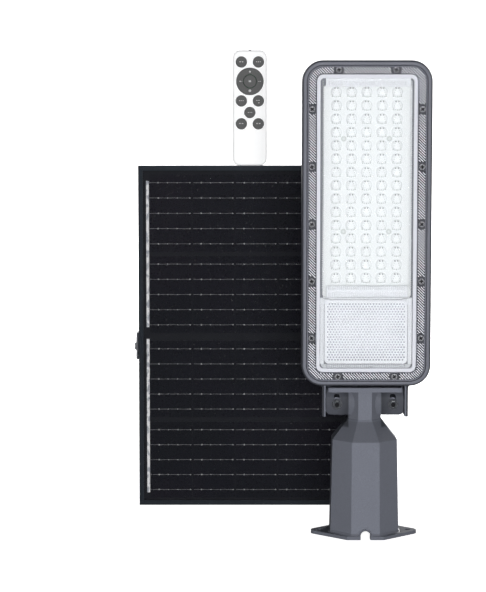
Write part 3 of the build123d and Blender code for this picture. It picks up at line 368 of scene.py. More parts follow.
# circuit board: mask with tracks and pads worked from square cells
m = Mat("board_green_mask", rough=0.34)
brick = m.node("ShaderNodeTexBrick")
brick.inputs["Scale"].default_value = 220.0
brick.inputs["Mortar Size"].default_value = 0.035
brick.inputs["Color1"].default_value = (0.012, 0.115, 0.045, 1)
brick.inputs["Color2"].default_value = (0.010, 0.090, 0.038, 1)
brick.inputs["Mortar"].default_value = (0.030, 0.200, 0.080, 1)
m.link(m.coords((1, 1, 1), (math.radians(90), 0, 0)), brick.inputs["Vector"])
fine = m.noise(900.0, 3.0)
m.colour(m.mix(m.remap(fine, 0.3, 0.7, 0.0, 0.3), brick.outputs["Color"], (0.006, 0.06, 0.025)))
m.rough(fine, 0.3, 0.7, 0.28, 0.42)
m.bump(brick.outputs["Fac"], 0.2, 0.0001)
mat_board = m

# white optics: the tint attribute paints shade, the pale grey-green of thick edges and dome feet up to 1 and a dark
# tone above it; the emission is a painted glow
def optic(name, base, edge_tint, glow, rough=0.22, dark=(0.30, 0.33, 0.33)):
    m = Mat(name, rough=rough)
    fine = m.noise(700.0, 3.0, 0.5)
    broad = m.noise(60.0, 2.0, 0.5)
    c = m.ramp(fine, [(0.3, tone(base, 0.985)), (0.7, tone(base, 1.01))])
    c = m.mix(m.remap(broad, 0.3, 0.75, 0.0, 0.35), c, (base[0] * 0.975, base[1] * 0.99, base[2] * 1.0))
    t = m.attr("tint")
    c = m.mix(m.math("MULTIPLY", t, 1.0, clamp=True), c, edge_tint)
    c = m.mix(m.math("SUBTRACT", t, 1.0, clamp=True), c, dark)
    m.colour(c)
    # painted glow: the optics emit their own colour
    m.link(c, m.b.inputs["Emission Color"])
    m.b.inputs["Emission Strength"].default_value = glow
    m.rough(fine, 0.3, 0.7, rough - 0.05, rough + 0.07)
    m.bump(fine, 0.06, 0.0001)
    return m


mat_lens_plate = optic("lens_plate_acrylic", (0.90, 0.925, 0.94), (0.58, 0.615, 0.61), 0.07)
mat_prism = optic("prismatic_sheet", (0.93, 0.945, 0.985), (0.42, 0.44, 0.49), 0.06, 0.3, (0.12, 0.125, 0.15))
mat_rim_rib = optic("cover_rim_ribs", (0.86, 0.88, 0.92), (0.42, 0.44, 0.47), 0.05, 0.25)

m = Mat("led_phosphor", rough=0.4)
fine = m.noise(2500.0, 3.0)
c = m.ramp(fine, [(0.3, (0.95, 0.90, 0.62)), (0.7, (1.0, 0.96, 0.74))])
m.colour(c)
m.link(c, m.b.inputs["Emission Color"])
m.b.inputs["Emission Strength"].default_value = 0.8
m.bump(fine, 0.2, 0.0001)
mat_led = m


def clear(name, base, alpha, rough, strength=0.03, grain=90.0, ior=1.45):
    """Thin clear sheet: a faint film of its own tone over what lies behind it."""
    m = Mat(name, rough=rough)
    m.b.inputs["Alpha"].default_value = alpha
    m.b.inputs["IOR"].default_value = ior
    n = m.noise(grain, 3.0, 0.5)
    m.colour(m.ramp(n, [(0.3, tone(base, 0.94)), (0.7, base)]))
    m.rough(n, 0.3, 0.7, max(0.02, rough - 0.03), rough + 0.04)
    m.bump(n, strength, 0.0001)
    return m


mat_cover = clear("clear_cover_polycarbonate", (0.90, 0.93, 0.96), 0.10, 0.10)
mat_glass = clear("panel_cover_glass", (0.012, 0.013, 0.018), 0.20, 0.05, 0.0, 40.0, 1.30)

# silicon cells: near black, slow blue and violet drift, hair-fine grid lines
m = Mat("cell_silicon", rough=0.3)
drift = m.noise(9.0, 3.0, 0.5)
fine = m.noise(420.0, 3.0, 0.6)
c = m.ramp(drift, [(0.34, (0.0085, 0.0095, 0.0120)), (0.50, (0.0100, 0.0100, 0.0150)), (0.66, (0.0125, 0.0105, 0.0165))])
c = m.mix(m.remap(fine, 0.4, 0.7, 0.0, 0.25), c, (0.016, 0.017, 0.022))
wave = m.node("ShaderNodeTexWave", wave_type="BANDS", bands_direction="X", wave_profile="SIN")
wave.inputs["Scale"].default_value = 250.0
m.link(m.coords(), wave.inputs["Vector"])
c = m.mix(m.remap(wave.outputs["Fac"], 0.92, 1.0, 0.0, 0.30), c, (0.035, 0.036, 0.042))
m.colour(c)
m.rough(fine, 0.3, 0.7, 0.24, 0.36)
m.bump(wave.outputs["Fac"], 0.05, 0.00005)
mat_cell = m

# anodised extrusion: drawn along its length
m = Mat("black_anodised_extrusion", rough=0.40, metal=0.35)
drawn = m.noise(900.0, 3.0, 0.55, stretch=(1, 1, 0.05))
fine = m.noise(1500.0, 3.0, 0.6)
c = m.ramp(drawn, [(0.3, (0.016, 0.021, 0.028)), (0.7, (0.023, 0.029, 0.038))])
c = m.mix(m.remap(fine, 0.4, 0.7, 0.0, 0.3), c, (0.05, 0.055, 0.065))
# painted highlight along the rounded edges
rounded = m.soft_edges(0.0005)
c = m.mix(m.math("MULTIPLY", m.edge_mask(rounded), 0.25), c, (0.10, 0.11, 0.125))
m.colour(c)
m.rough(drawn, 0.3, 0.7, 0.30, 0.44)
m.bump(drawn, 0.12, 0.00008, rounded)
mat_frame = m

mat_bracket = powder("bracket_powder_coat", (0.10, 0.105, 0.118), 1300.0, 0.18, 0.2, 0.3)

SLOT_MAT = {
    "casting": mat_casting, "casting_light": mat_bezel, "zinc_bolt": mat_zinc, "dark_screw": mat_screw,
    "clear_cover": mat_cover, "white_silicone": mat_silicone, "lens_plate": mat_lens_plate, "prism_plate": mat_prism,
    "led_board": mat_led_board, "led_emitter": mat_led, "cell_wrap": mat_cell_wrap, "black_plastic": mat_black,
    "circuit_board": mat_board, "panel_frame": mat_frame, "panel_glass": mat_glass, "cell_silicon": mat_cell,
    "tinned_wire": mat_tin, "backsheet": mat_backsheet, "bracket_steel": mat_bracket, "nylon_washer": mat_washer,
    "remote_white": mat_remote, "key_rubber": mat_key, "nickel": mat_nickel, "smoked_led": mat_smoked,
}
for part in frame["record"]["subparts"]:
    ob = NODES.get(part["node"])
    if ob is None:
        continue
    ob.data.materials.clear()
    ob.data.materials.append(SLOT_MAT[part["material_slot"]].m)
NODES["spigot_casting"].data.materials[0] = mat_socket_casting.m
NODES["rear_housing"].data.materials[0] = mat_housing.m
NODES["tilt_screws"].data.materials[0] = mat_tilt_head.m
NODES["tilt_washers"].data.materials[0] = mat_dull_steel.m
NODES["remote_rear_shell"].data.materials[0] = mat_remote_back.m
NODES["remote_battery_door"].data.materials[0] = mat_remote_back.m


# ---------------------------------------------------------------- mesh helpers
def piece(name, verts, faces, body, material, stands_for=(), sharp=32.0, tint=None, smooth=True):
    """A mesh piece in row-frame metres from vertices in millimetres."""
    me = bpy.data.meshes.new(name)
    me.from_pydata([(x * MM, y * MM, z * MM) for x, y, z in verts], [], faces)
    me.validate()
    bm = bmesh.new()
    bm.from_mesh(me)
    bmesh.ops.recalc_face_normals(bm, faces=bm.faces)
    bm.to_mesh(me)
    bm.free()
    if smooth:
        me.polygons.foreach_set("use_smooth", [True] * len(me.polygons))
        me.set_sharp_from_angle(angle=math.radians(sharp))
    me.materials.append(material.m)
    if tint is not None:
        a = me.attributes.new("tint", "FLOAT", "POINT")
        a.data.foreach_set("value", tint)
    ob = bpy.data.objects.new(name, me)
    scene.collection.objects.link(ob)
    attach(ob, body)
    if stands_for:
        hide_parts(*stands_for)
    return ob


def add_lathe(verts, faces, centre, profile, seg, axis, cap=True, phase=0.0, tints=None, tint_out=None):
    """Rings of (radius, height) about an axis through centre. axis is the outward unit vector."""
    n = Vector(axis).normalized()
    u = Vector((1, 0, 0)) if abs(n.x) < 0.9 else Vector((0, 0, 1))
    u = (u - n * u.dot(n)).normalized()
    v = n.cross(u)
    c = Vector(centre)
    base = len(verts)
    for i, (r, h) in enumerate(profile):
        for k in range(seg):
            a = 2 * math.pi * k / seg + phase
            p = c + n * h + (u * math.cos(a) + v * math.sin(a)) * r
            verts.append(tuple(p))
            if tint_out is not None:
                tint_out.append(tints[i])
    for i in range(len(profile) - 1):
        for k in range(seg):
            a, b = base + i * seg + k, base + i * seg + (k + 1) % seg
            faces.append((a, b, b + seg, a + seg))
    if cap:
        faces.append(tuple(base + k for k in range(seg))[::-1])
        faces.append(tuple(base + (len(profile) - 1) * seg + k for k in range(seg)))
    return base


def add_prism(verts, faces, low, high):
    """Closed loft between two polygons with the same number of points."""
    b = len(verts)
    n = len(low)
    verts.extend(low)
    verts.extend(high)
    for k in range(n):
        faces.append((b + k, b + (k + 1) % n, b + n + (k + 1) % n, b + n + k))
    faces.append(tuple(range(b, b + n))[::-1])
    faces.append(tuple(range(b + n, b + 2 * n)))


def sd_round(x, z, w, h, r):
    """Signed distance to a rounded rectangle of that width and height about (0, 0)."""
    qx, qz = abs(x) - (w / 2 - r), abs(z) - (h / 2 - r)
    return math.hypot(max(qx, 0), max(qz, 0)) + min(max(qx, qz), 0) - r


def hex_ring(r, n=6, phase=0.0):
    return [(r * math.cos(2 * math.pi * k / n + phase), r * math.sin(2 * math.pi * k / n + phase)) for k in range(n)]


# ---------------------------------------------------------------- bezel: diagonal ridges in the sunk band
def band_free(x, z):
    dz = z - ZC
    if sd_round(x, dz, 136.0, 363.8, 17.0) > -0.45:
        return False
    if sd_round(x, dz, 118.2, 347.6, 8.4) < 0.2:
        return False
    return all((x - sx) ** 2 + (z - sz) ** 2 > 6.0 ** 2 for sx, sz in BEZEL_SCREWS)


verts, faces = [], []
PITCH = 3.2
d = math.sqrt(0.5)
half_base, half_top = 0.62, 0.40
y_floor, y_top = Y_FRONT + 1.42, Y_FRONT + 0.22
k_max = int((136 + 364) / PITCH) + 2
for k in range(-k_max, k_max):
    c0 = k * PITCH * 0.5 * 2  # x + z offset of this line, measured along x
    pts = []
    steps = 1400
    inside, t_in = False, 0.0
    span = 240.0
    for s in range(steps + 1):
        t = -span + 2 * span * s / steps
        x, z = c0 / 2 + t * d, ZC + c0 / 2 - t * d
        ok = abs(x) < 70 and abs(z - ZC) < 184 and band_free(x, z)
        if ok and not inside:
            inside, t_in = True, t
        elif not ok and inside:
            inside = False
            if t - t_in > 1.6:
                pts.append((t_in, t - 2 * span / steps))
    for a, b in pts:
        x0, z0 = c0 / 2 + a * d, ZC + c0 / 2 - a * d
        x1, z1 = c0 / 2 + b * d, ZC + c0 / 2 - b * d
        ex, ez = d, d  # across the ridge
        fx, fz = d * 0.45, -d * 0.45  # end slope along the ridge
        low = [
            (x0 + ex * half_base, y_floor, z0 + ez * half_base), (x1 + ex * half_base, y_floor, z1 + ez * half_base),
            (x1 - ex * half_base, y_floor, z1 - ez * half_base), (x0 - ex * half_base, y_floor, z0 - ez * half_base),
        ]
        mid_h, mid_y = 0.50, Y_FRONT + 0.5
        mid = [
            (x0 + ex * mid_h + fx * 0.4, mid_y, z0 + ez * mid_h + fz * 0.4), (x1 + ex * mid_h - fx * 0.4, mid_y, z1 + ez * mid_h - fz * 0.4),
            (x1 - ex * mid_h - fx * 0.4, mid_y, z1 - ez * mid_h - fz * 0.4), (x0 - ex * mid_h + fx * 0.4, mid_y, z0 - ez * mid_h + fz * 0.4),
        ]
        top = [
            (x0 + ex * half_top + fx, y_top, z0 + ez * half_top + fz), (x1 + ex * half_top - fx, y_top, z1 + ez * half_top - fz),
            (x1 - ex * half_top - fx, y_top, z1 - ez * half_top - fz), (x0 - ex * half_top + fx, y_top, z0 - ez * half_top + fz),
        ]
        base = len(verts)
        verts.extend(low + mid + top)
        for lvl in (0, 4):
            for q in range(4):
                faces.append((base + lvl + q, base + lvl + (q + 1) % 4, base + lvl + 4 + (q + 1) % 4, base + lvl + 4 + q))
        faces.append((base + 3, base + 2, base + 1, base))
        faces.append((base + 8, base + 9, base + 10, base + 11))
piece("bezel_ridges", verts, faces, "head", mat_ridge, sharp=50)

# narrow satin land between the ridges and the outer groove
mat_land = powder("land_powder_coat", (0.185, 0.192, 0.230), edge=0.15)


def round_loop(w, h, r, steps=14):
    out = []
    for qx, qz, a0 in ((w / 2 - r, h / 2 - r, 0), (r - w / 2, h / 2 - r, 90), (r - w / 2, r - h / 2, 180), (w / 2 - r, r - h / 2, 270)):
        for j in range(steps + 1):
            a = math.radians(a0 + 90.0 * j / steps)
            out.append((qx + r * math.cos(a), qz + r * math.sin(a)))
    return out


verts, faces = [], []
loops = [
    (138.1, 365.9, 18.05, Y_FRONT + 2.5), (138.1, 365.9, 18.05, Y_FRONT + 0.62), (137.7, 365.5, 17.85, Y_FRONT + 0.32),
    (135.9, 363.7, 16.95, Y_FRONT + 0.32), (135.4, 363.2, 16.7, Y_FRONT + 0.62), (135.4, 363.2, 16.7, Y_FRONT + 1.5),
]
n = len(round_loop(10, 10, 1))
for w, h, r, y in loops:
    verts.extend([(x, y, ZC + z) for x, z in round_loop(w, h, r)])
for i in range(len(loops)):
    j = (i + 1) % len(loops)
    for k in range(n):
        faces.append((i * n + k, i * n + (k + 1) % n, j * n + (k + 1) % n, j * n + k))
piece("bezel_land", verts, faces, "head", mat_land, sharp=50)


# ---------------------------------------------------------------- bezel screws: domed pan heads with a cross recess
def cross_head(verts, faces, x, z, y_seat, r=3.7, h=2.05, turn=0.0, shank=None):
    seg, rings = 48, [0.0, 0.35, 0.7, 1.05, 1.4, 1.75, 2.1, 2.5, 2.9, 3.25, 3.55, r]
    base = len(verts)
    for i, rr in enumerate(rings):
        for k in range(seg):
            a = 2 * math.pi * k / seg
            px, pz = rr * math.cos(a), rr * math.sin(a)
            dome = h * (1 - 0.42 * (rr / r) ** 2)
            if rr > 3.3:
                dome = h * 0.58 - (rr - 3.25) / (r - 3.25) * 0.35
            q = turn
            cx, cz = px * math.cos(q) + pz * math.sin(q), -px * math.sin(q) + pz * math.cos(q)
            arm = min(abs(cx), abs(cz))
            reach = max(abs(cx), abs(cz))
            if arm < 0.78 and reach < 2.5:
                dome -= 1.15 * min(1.0, (2.5 - reach) / 0.35 + 0.3)
            verts.append((x + px, y_seat - dome, z + pz))
    for i in range(len(rings) - 1):
        for k in range(seg):
            a, b = base + i * seg + k, base + i * seg + (k + 1) % seg
            faces.append((a, b, b + seg, a + seg))
    last = base + (len(rings) - 1) * seg
    skirt = len(verts)
    for k in range(seg):
        vx, vy, vz = verts[last + k]
        verts.append((vx, y_seat, vz))
    for k in range(seg):
        faces.append((last + k, last + (k + 1) % seg, skirt + (k + 1) % seg, skirt + k))
    shank_r, shank_len = shank
    inner = len(verts)
    for k in range(seg):
        a = 2 * math.pi * k / seg
        verts.append((x + shank_r * math.cos(a), y_seat, z + shank_r * math.sin(a)))
    for k in range(seg):
        faces.append((skirt + k, skirt + (k + 1) % seg, inner + (k + 1) % seg, inner + k))
    # threaded shank as stacked ridges
    turns = int(shank_len / 0.7)
    prev = inner
    for j in range(1, turns * 2 + 1):
        rr = shank_r if j % 2 == 0 else shank_r - 0.32
        cur = len(verts)
        for k in range(seg):
            a = 2 * math.pi * k / seg
            verts.append((x + rr * math.cos(a), y_seat + shank_len * j / (turns * 2), z + rr * math.sin(a)))
        for k in range(seg):
            faces.append((prev + k, prev + (k + 1) % seg, cur + (k + 1) % seg, cur + k))
        prev = cur
    faces.append(tuple(prev + k for k in range(seg)))
    # close the middle of the head
    mid = len(verts)
    verts.append((x, y_seat - (h - 1.15), z))
    for k in range(seg):
        faces.append((mid, base + (k + 1) % seg, base + k))
    return base


verts, faces = [], []
rec_v, rec_f = [], []
for x, z in BEZEL_SCREWS:
    turn = rnd.uniform(0, 1.5)
    cross_head(verts, faces, x, z, -32.82, turn=turn, shank=(1.95, 15.0))
    ct, st = math.cos(turn), math.sin(turn)
    for u, v, y1 in ((2.25, 0.72, -34.22), (0.72, 2.25, -34.24)):
        quad = [(-u, -v), (u, -v), (u, v), (-u, v)]
        ring = [(x + a * ct - b_ * st, z + a * st + b_ * ct) for a, b_ in quad]
        add_prism(rec_v, rec_f, [(a, -33.1, b_) for a, b_ in ring], [(a, y1, b_) for a, b_ in ring])
# the dark plugs in the cross recesses are painted shade
mat_recess = plastic("recess_painted_shade", (0.012, 0.012, 0.014), 0.6, 0.3, 1800.0, 0.2)
piece("bezel_screw_recess_shade", rec_v, rec_f, "head", mat_recess, sharp=40)
piece("bezel_screw_set", verts, faces, "head", mat_screw, ("bezel_screws",), sharp=38)

# ---------------------------------------------------------------- lens plate: a skirted dome with locating posts over each diode
px0, px1, pz0, pz1 = plate_lo.x, plate_hi.x, plate_lo.z, plate_hi.z
verts, faces, tints = [], [], []
Y_PLATE_FACE = -18.4
cx0, cx1 = LEDS[0][0] - LED_PX / 2, LEDS[-1][0] + LED_PX / 2
cz0, cz1 = LED_Z0 - LED_PZ / 2, LED_Z0 + 14.5 * LED_PZ
# plate outline as a thin closed slab
slab = []
R = 3.0
for qx, qz, a0 in ((px1 - R, pz1 - R, 0), (px0 + R, pz1 - R, 90), (px0 + R, pz0 + R, 180), (px1 - R, pz0 + R, 270)):
    for j in range(7):
        a = math.radians(a0 + 15 * j)
        slab.append((qx + R * math.cos(a), qz + R * math.sin(a)))
add_prism(verts, faces, [(x, -17.0, z) for x, z in slab], [(x, Y_PLATE_FACE, z) for x, z in slab])
tints += [0.28] * (2 * len(slab))
for x, z in LEDS:
    prof = [
        (8.0, 0.0), (8.0, 0.35), (7.3, 0.75), (6.75, 0.30), (6.45, 0.30), (6.3, 0.9), (6.05, 1.7), (5.5, 2.5),
        (4.6, 3.15), (3.4, 3.55), (2.0, 3.5), (1.0, 3.25), (0.15, 3.15),
    ]
    # dome tints: painted shade, greyer on the skirt and at the foot of the dome
    tt = [0.06, 0.08, 0.08, 0.20, 0.20, 0.14, 0.09, 0.03, 0.0, 0.0, 0.0, 0.03, 0.06]
    b0 = len(verts)
    add_lathe(verts, faces, (x, Y_PLATE_FACE, z), prof, 28, (0, -1, 0), cap=True, tints=tt, tint_out=tints)
    # flatten the skirt so that neighbours in a column don't run into each other
    for i in range(b0, len(verts)):
        vx, vy, vz = verts[i]
        lim = LED_PZ / 2 - 0.08
        if abs(vz - z) > lim:
            verts[i] = (vx, vy, z + math.copysign(lim, vz - z))
    # locating posts: two close together above, runs down both sides and an arc along the foot; tint above 1 paints them
    # dark as painted shade
    for (du, dv, rr, rise, tv) in (
        (-1.55, 4.5, 1.00, 0.8, 2.0), (1.65, 4.5, 1.00, 0.8, 2.0),
        (-2.5, 1.9, 0.60, 0.35, 1.15), (-3.3, -0.6, 0.60, 0.35, 1.15), (-4.1, -3.1, 0.62, 0.35, 1.2),
        (2.6, 1.9, 0.60, 0.35, 1.15), (3.4, -0.6, 0.60, 0.35, 1.15), (4.2, -3.1, 0.62, 0.35, 1.2),
        (-4.5, -4.9, 0.80, 0.7, 1.7), (-2.3, -5.2, 0.62, 0.5, 1.3), (0.1, -5.3, 0.72, 0.6, 1.5),
        (2.4, -5.2, 0.62, 0.5, 1.3), (4.6, -4.9, 0.80, 0.7, 1.7),
    ):
        rad = math.hypot(du, dv)
        top = 0.3
        for (ra, ha), (rb, hb) in zip(prof, prof[1:]):
            if rb <= rad <= ra:
                top = ha + (hb - ha) * (ra - rad) / max(1e-6, ra - rb)
        top += rise
        add_lathe(
            verts, faces, (x + du, Y_PLATE_FACE, z + dv), [(rr, 0.0), (rr * 0.95, top), (rr * 0.45, top + 0.2)], 8, (0, -1, 0),
            tints=[tv, tv, tv * 0.9], tint_out=tints,
        )
for x, z in BOARD_SCREWS:
    add_lathe(
        verts, faces, (x, Y_PLATE_FACE, z), [(3.3, 0.0), (3.2, 0.35), (2.5, 0.35), (2.1, 0.1), (1.6, 0.25), (0.5, 0.35)], 20, (0, -1, 0),
        tints=[0.5, 0.9, 1.1, 1.25, 0.8, 0.6], tint_out=tints,
    )
piece("lens_plate_domes", verts, faces, "head", mat_lens_plate, ("lens_array",), sharp=40, tint=tints)

# ribbed inner border of the clear cover, and the thin bar under the last row of lenses
verts, faces, tints = [], [], []
RIB = 2.44
lz0, lz1 = lens_lo.z + 6.2, lens_hi.z - 6.2
y_a, y_b = -27.9, -26.6
for side, x_in, x_out, wide in ((-1, 49.9, 51.7, 1.40), (1, 50.4, 52.4, 1.55)):
    n = int((lz1 - 294.0) / RIB)
    for k in range(n):
        z = lz1 - 1.6 - k * RIB
        xa, xb = sorted((side * x_in, side * x_out))
        w = wide / 2
        low = [(xa, y_b, z - w), (xb, y_b, z - w), (xb, y_b, z + w), (xa, y_b, z + w)]
        high = [(xa + 0.15, y_a, z - w * 0.6), (xb - 0.15, y_a, z - w * 0.6), (xb - 0.15, y_a, z + w * 0.6), (xa + 0.15, y_a, z + w * 0.6)]
        add_prism(verts, faces, low, high)
        # painted shade: the left ribs darken towards the top
        left_shade = 0.0 if side > 0 else max(0.0, min(1.0, (z - 340.0) / 90.0))
        tints += [0.6 + 1.3 * left_shade] * 4 + [0.05 + 1.65 * left_shade] * 4
n = int(92 / RIB)
for zc, hh, dark in ((lens_hi.z - 9.6, 2.3, 0.45), (295.7, 1.9, 0.75), (288.0, 2.9, 0.30)):
    for k in range(n):
        x = -43.5 + k * RIB
        w = 0.74
        low = [(x - w, y_b, zc - hh), (x + w, y_b, zc - hh), (x + w, y_b, zc + hh), (x - w, y_b, zc + hh)]
        high = [(x - w * 0.6, y_a, zc - hh + 0.2), (x + w * 0.6, y_a, zc - hh + 0.2), (x + w * 0.6, y_a, zc + hh - 0.2), (x - w * 0.6, y_a, zc + hh - 0.2)]
        add_prism(verts, faces, low, high)
        tints += [dark] * 4 + [dark * 0.5] * 4
piece("cover_rim_ribs", verts, faces, "head", mat_rim_rib, sharp=40, tint=tints)

# pale border strips of the cover, seen between the optics and the gasket
verts, faces, tints = [], [], []
yb0, yb1 = -25.9, -26.45


def strip(x0, x1, z0, z1, t_low, t_high, ease=0.35):
    low = [(x0, yb0, z0), (x1, yb0, z0), (x1, yb0, z1), (x0, yb0, z1)]
    high = [(x0 + ease, yb1, z0 + ease), (x1 - ease, yb1, z0 + ease), (x1 - ease, yb1, z1 - ease), (x0 + ease, yb1, z1 - ease)]
    add_prism(verts, faces, low, high)
    tints.extend([t_low] * 4 + [t_high] * 4)


strip(-47.8, 50.6, 529.6, 539.6, 0.35, 0.18)
strip(-46.5, 48.5, 284.2, 298.2, 0.30, 0.13)
strip(-53.9, -48.9, 206.2, 284.4, 0.60, 0.34)
strip(48.9, 53.9, 206.2, 284.4, 0.60, 0.30)
strip(-50.6, 50.6, 282.1, 285.6, 0.50, 0.30)
strip(-46.0, 46.0, 201.4, 206.1, 1.10, 0.98)
for k in range(37):
    x = -44.0 + k * RIB
    w = 0.72
    add_prism(
        verts, faces,
        [(x - w, yb1, 202.0), (x + w, yb1, 202.0), (x + w, yb1, 205.8), (x - w, yb1, 205.8)],
        [(x - w * 0.6, yb1 - 0.6, 202.3), (x + w * 0.6, yb1 - 0.6, 202.3), (x + w * 0.6, yb1 - 0.6, 205.5), (x - w * 0.6, yb1 - 0.6, 205.5)],
    )
    tints += [1.0] * 4 + [0.62] * 4
for s_ in (-1, 1):
    arc = [(s_ * 46.0, 206.4), (s_ * 53.1, 206.4)]
    arc += [(s_ * (46.6 + 6.5 * math.cos(math.radians(a))), 207.2 - 6.5 * math.sin(math.radians(a))) for a in range(8, 91, 9)]
    arc += [(s_ * 46.0, 200.8)]
    mid_x, mid_z = s_ * 48.5, 204.5
    add_prism(
        verts, faces, [(x, yb0, z) for x, z in arc],
        [(mid_x + (x - mid_x) * 0.9, yb1, mid_z + (z - mid_z) * 0.9) for x, z in arc],
    )
    tints.extend([1.05] * len(arc) + [0.80] * len(arc))
# tabs behind the top corners of the prismatic sheet
strip(-48.9, -42.5, 276.5, 284.0, 0.40, 0.30)
strip(42.5, 48.9, 276.5, 284.0, 0.40, 0.30)
piece("cover_border", verts, faces, "head", mat_rim_rib, sharp=40, tint=tints)

# ---------------------------------------------------------------- prismatic sheet: hexagonal dimples in a bevelled plate
verts, faces, tints = [], [], []
A = 3.44
ROW = A * math.sqrt(3) / 2
dx0, dx1, dz0, dz1 = diff_lo.x, diff_hi.x, diff_lo.z, diff_hi.z
dcx, dcz = (dx0 + dx1) / 2, (dz0 + dz1) / 2
dw, dh = dx1 - dx0, dz1 - dz0
yf, yb = diff_lo.y, diff_hi.y
slab, R = [], 5.0
for qx, qz, a0 in ((dx1 - R, dz1 - R, 0), (dx0 + R, dz1 - R, 90), (dx0 + R, dz0 + R, 180), (dx1 - R, dz0 + R, 270)):
    for j in range(9):
        a = math.radians(a0 + 11.25 * j)
        slab.append((qx + R * math.cos(a), qz + R * math.sin(a)))
ins = [((x - dcx) * (1 - 2.6 / dw) + dcx, (z - dcz) * (1 - 2.6 / dh) + dcz) for x, z in slab]
n = len(slab)
b = len(verts)
verts.extend([(x, yb, z) for x, z in slab])
verts.extend([(x, yf + 1.0, z) for x, z in slab])
verts.extend([(x, yf + 0.75, z) for x, z in ins])
tints += [0.5] * n + [0.45] * n + [0.25] * n
for ring in (0, 1):
    for k in range(n):
        faces.append((b + ring * n + k, b + ring * n + (k + 1) % n, b + (ring + 1) * n + (k + 1) % n, b + (ring + 1) * n + k))
faces.append(tuple(range(b, b + n))[::-1])
faces.append(tuple(range(b + 2 * n, b + 3 * n)))
rows = int(dh / ROW) + 2
cols = int(dw / A) + 2
for j in range(-rows // 2, rows // 2 + 1):
    for i in range(-cols // 2, cols // 2 + 1):
        x = dcx + (i + (0.5 if j % 2 else 0.0)) * A
        z = dcz + j * ROW
        edge = sd_round(x - dcx, z - dcz, dw, dh, 5.0)
        if edge > -2.4:
            continue
        # painted shade: the dimple centres and walls darken near the border and towards the bottom
        k_edge = max(0.0, min(1.0, 1 - (-edge - 2.4) / 16.0))
        low_part = max(0.0, min(1.0, (dcz - z) / (dh / 2)))
        dark = 0.80 + 0.35 * k_edge + 0.45 * low_part ** 2
        ph = math.pi / 6
        r_out = A / math.sqrt(3) * 0.985
        wall = 0.10 + 0.16 * low_part ** 3
        levels = ((r_out, yf + 0.95, 0.10 + wall), (r_out * 0.90, yf + 0.05, wall - 0.10), (r_out * 0.66, yf + 0.20, 0.05 + wall), (r_out * 0.44, yf + 0.72, dark))
        b = len(verts)
        for rr, yy, tv in levels:
            for a_ in range(6):
                ang = math.pi / 3 * a_ + ph
                verts.append((x + rr * math.cos(ang), yy, z + rr * math.sin(ang)))
                tints.append(tv)
        for lv in range(len(levels) - 1):
            for q in range(6):
                faces.append((b + lv * 6 + q, b + lv * 6 + (q + 1) % 6, b + (lv + 1) * 6 + (q + 1) % 6, b + (lv + 1) * 6 + q))
        faces.append(tuple(b + 18 + q for q in range(6)))
        faces.append(tuple(b + q for q in range(6))[::-1])
piece("prism_sheet", verts, faces, "head", mat_prism, ("diffuser_plate",), sharp=25, tint=tints)

# ---------------------------------------------------------------- cell wires: flat tinned wire with solder pads, cell by cell
ribbon_y = cell_lo.y
ROW_Z = (372.2, 269.3, 161.4, 57.6)
CELL_W, CELL_PITCH = 53.3, 54.2
PX = (cell_lo.x + cell_hi.x) / 2
verts, faces = [], []
pads_v, pads_f = [], []
for z0 in ROW_Z:
    for k in range(-2, 3):
        z = z0 + k * 19.3
        for c_ in range(-2, 3):
            xa = PX + c_ * CELL_PITCH - CELL_W / 2
            x_lo = xa + (0.9 if c_ > -2 else -1.6)
            x_hi = xa + CELL_W - (0.9 if c_ < 2 else -1.6)
            h0, h1 = 0.36, 0.20
            n_seg = 8
            for s in range(n_seg):
                sa = x_lo + (x_hi - x_lo) * s / n_seg
                sb = x_lo + (x_hi - x_lo) * (s + 1) / n_seg
                wob = rnd.uniform(-0.04, 0.04)
                add_prism(
                    verts, faces,
                    [(sa, ribbon_y - 0.005, z - h0 + wob), (sb, ribbon_y - 0.005, z - h0 + wob), (sb, ribbon_y - 0.005, z + h0 + wob), (sa, ribbon_y - 0.005, z + h0 + wob)],
                    [(sa, ribbon_y - 0.17, z - h1 + wob), (sb, ribbon_y - 0.17, z - h1 + wob), (sb, ribbon_y - 0.17, z + h1 + wob), (sa, ribbon_y - 0.17, z + h1 + wob)],
                )
            for off, hw, hh in ((11.0, 1.15, 0.98), (22.8, 0.9, 0.66), (35.0, 0.9, 0.62), (50.8, 1.0, 0.78)):
                xx = xa + off + rnd.uniform(-0.25, 0.25)
                low, high = [], []
                for q in range(10):
                    a = 2 * math.pi * q / 10
                    low.append((xx + hw * math.cos(a), ribbon_y - 0.005, z + hh * math.sin(a)))
                    high.append((xx + hw * 0.62 * math.cos(a), ribbon_y - 0.185, z + hh * 0.62 * math.sin(a)))
                add_prism(pads_v, pads_f, low, high)
mat_wire = metal("cell_wire_dull", (0.38, 0.385, 0.40), 0.45, (0.2, 1, 1))
mat_wire.b.inputs["Metallic"].default_value = 0.2
mat_pad = metal("cell_solder_tin", (0.93, 0.94, 0.95), 0.42)
mat_pad.b.inputs["Metallic"].default_value = 0.2
piece("cell_wire_runs", verts, faces, "panel", mat_wire, ("cell_wires",), sharp=60)
piece("cell_solder_pads", pads_v, pads_f, "panel", mat_pad, sharp=70)

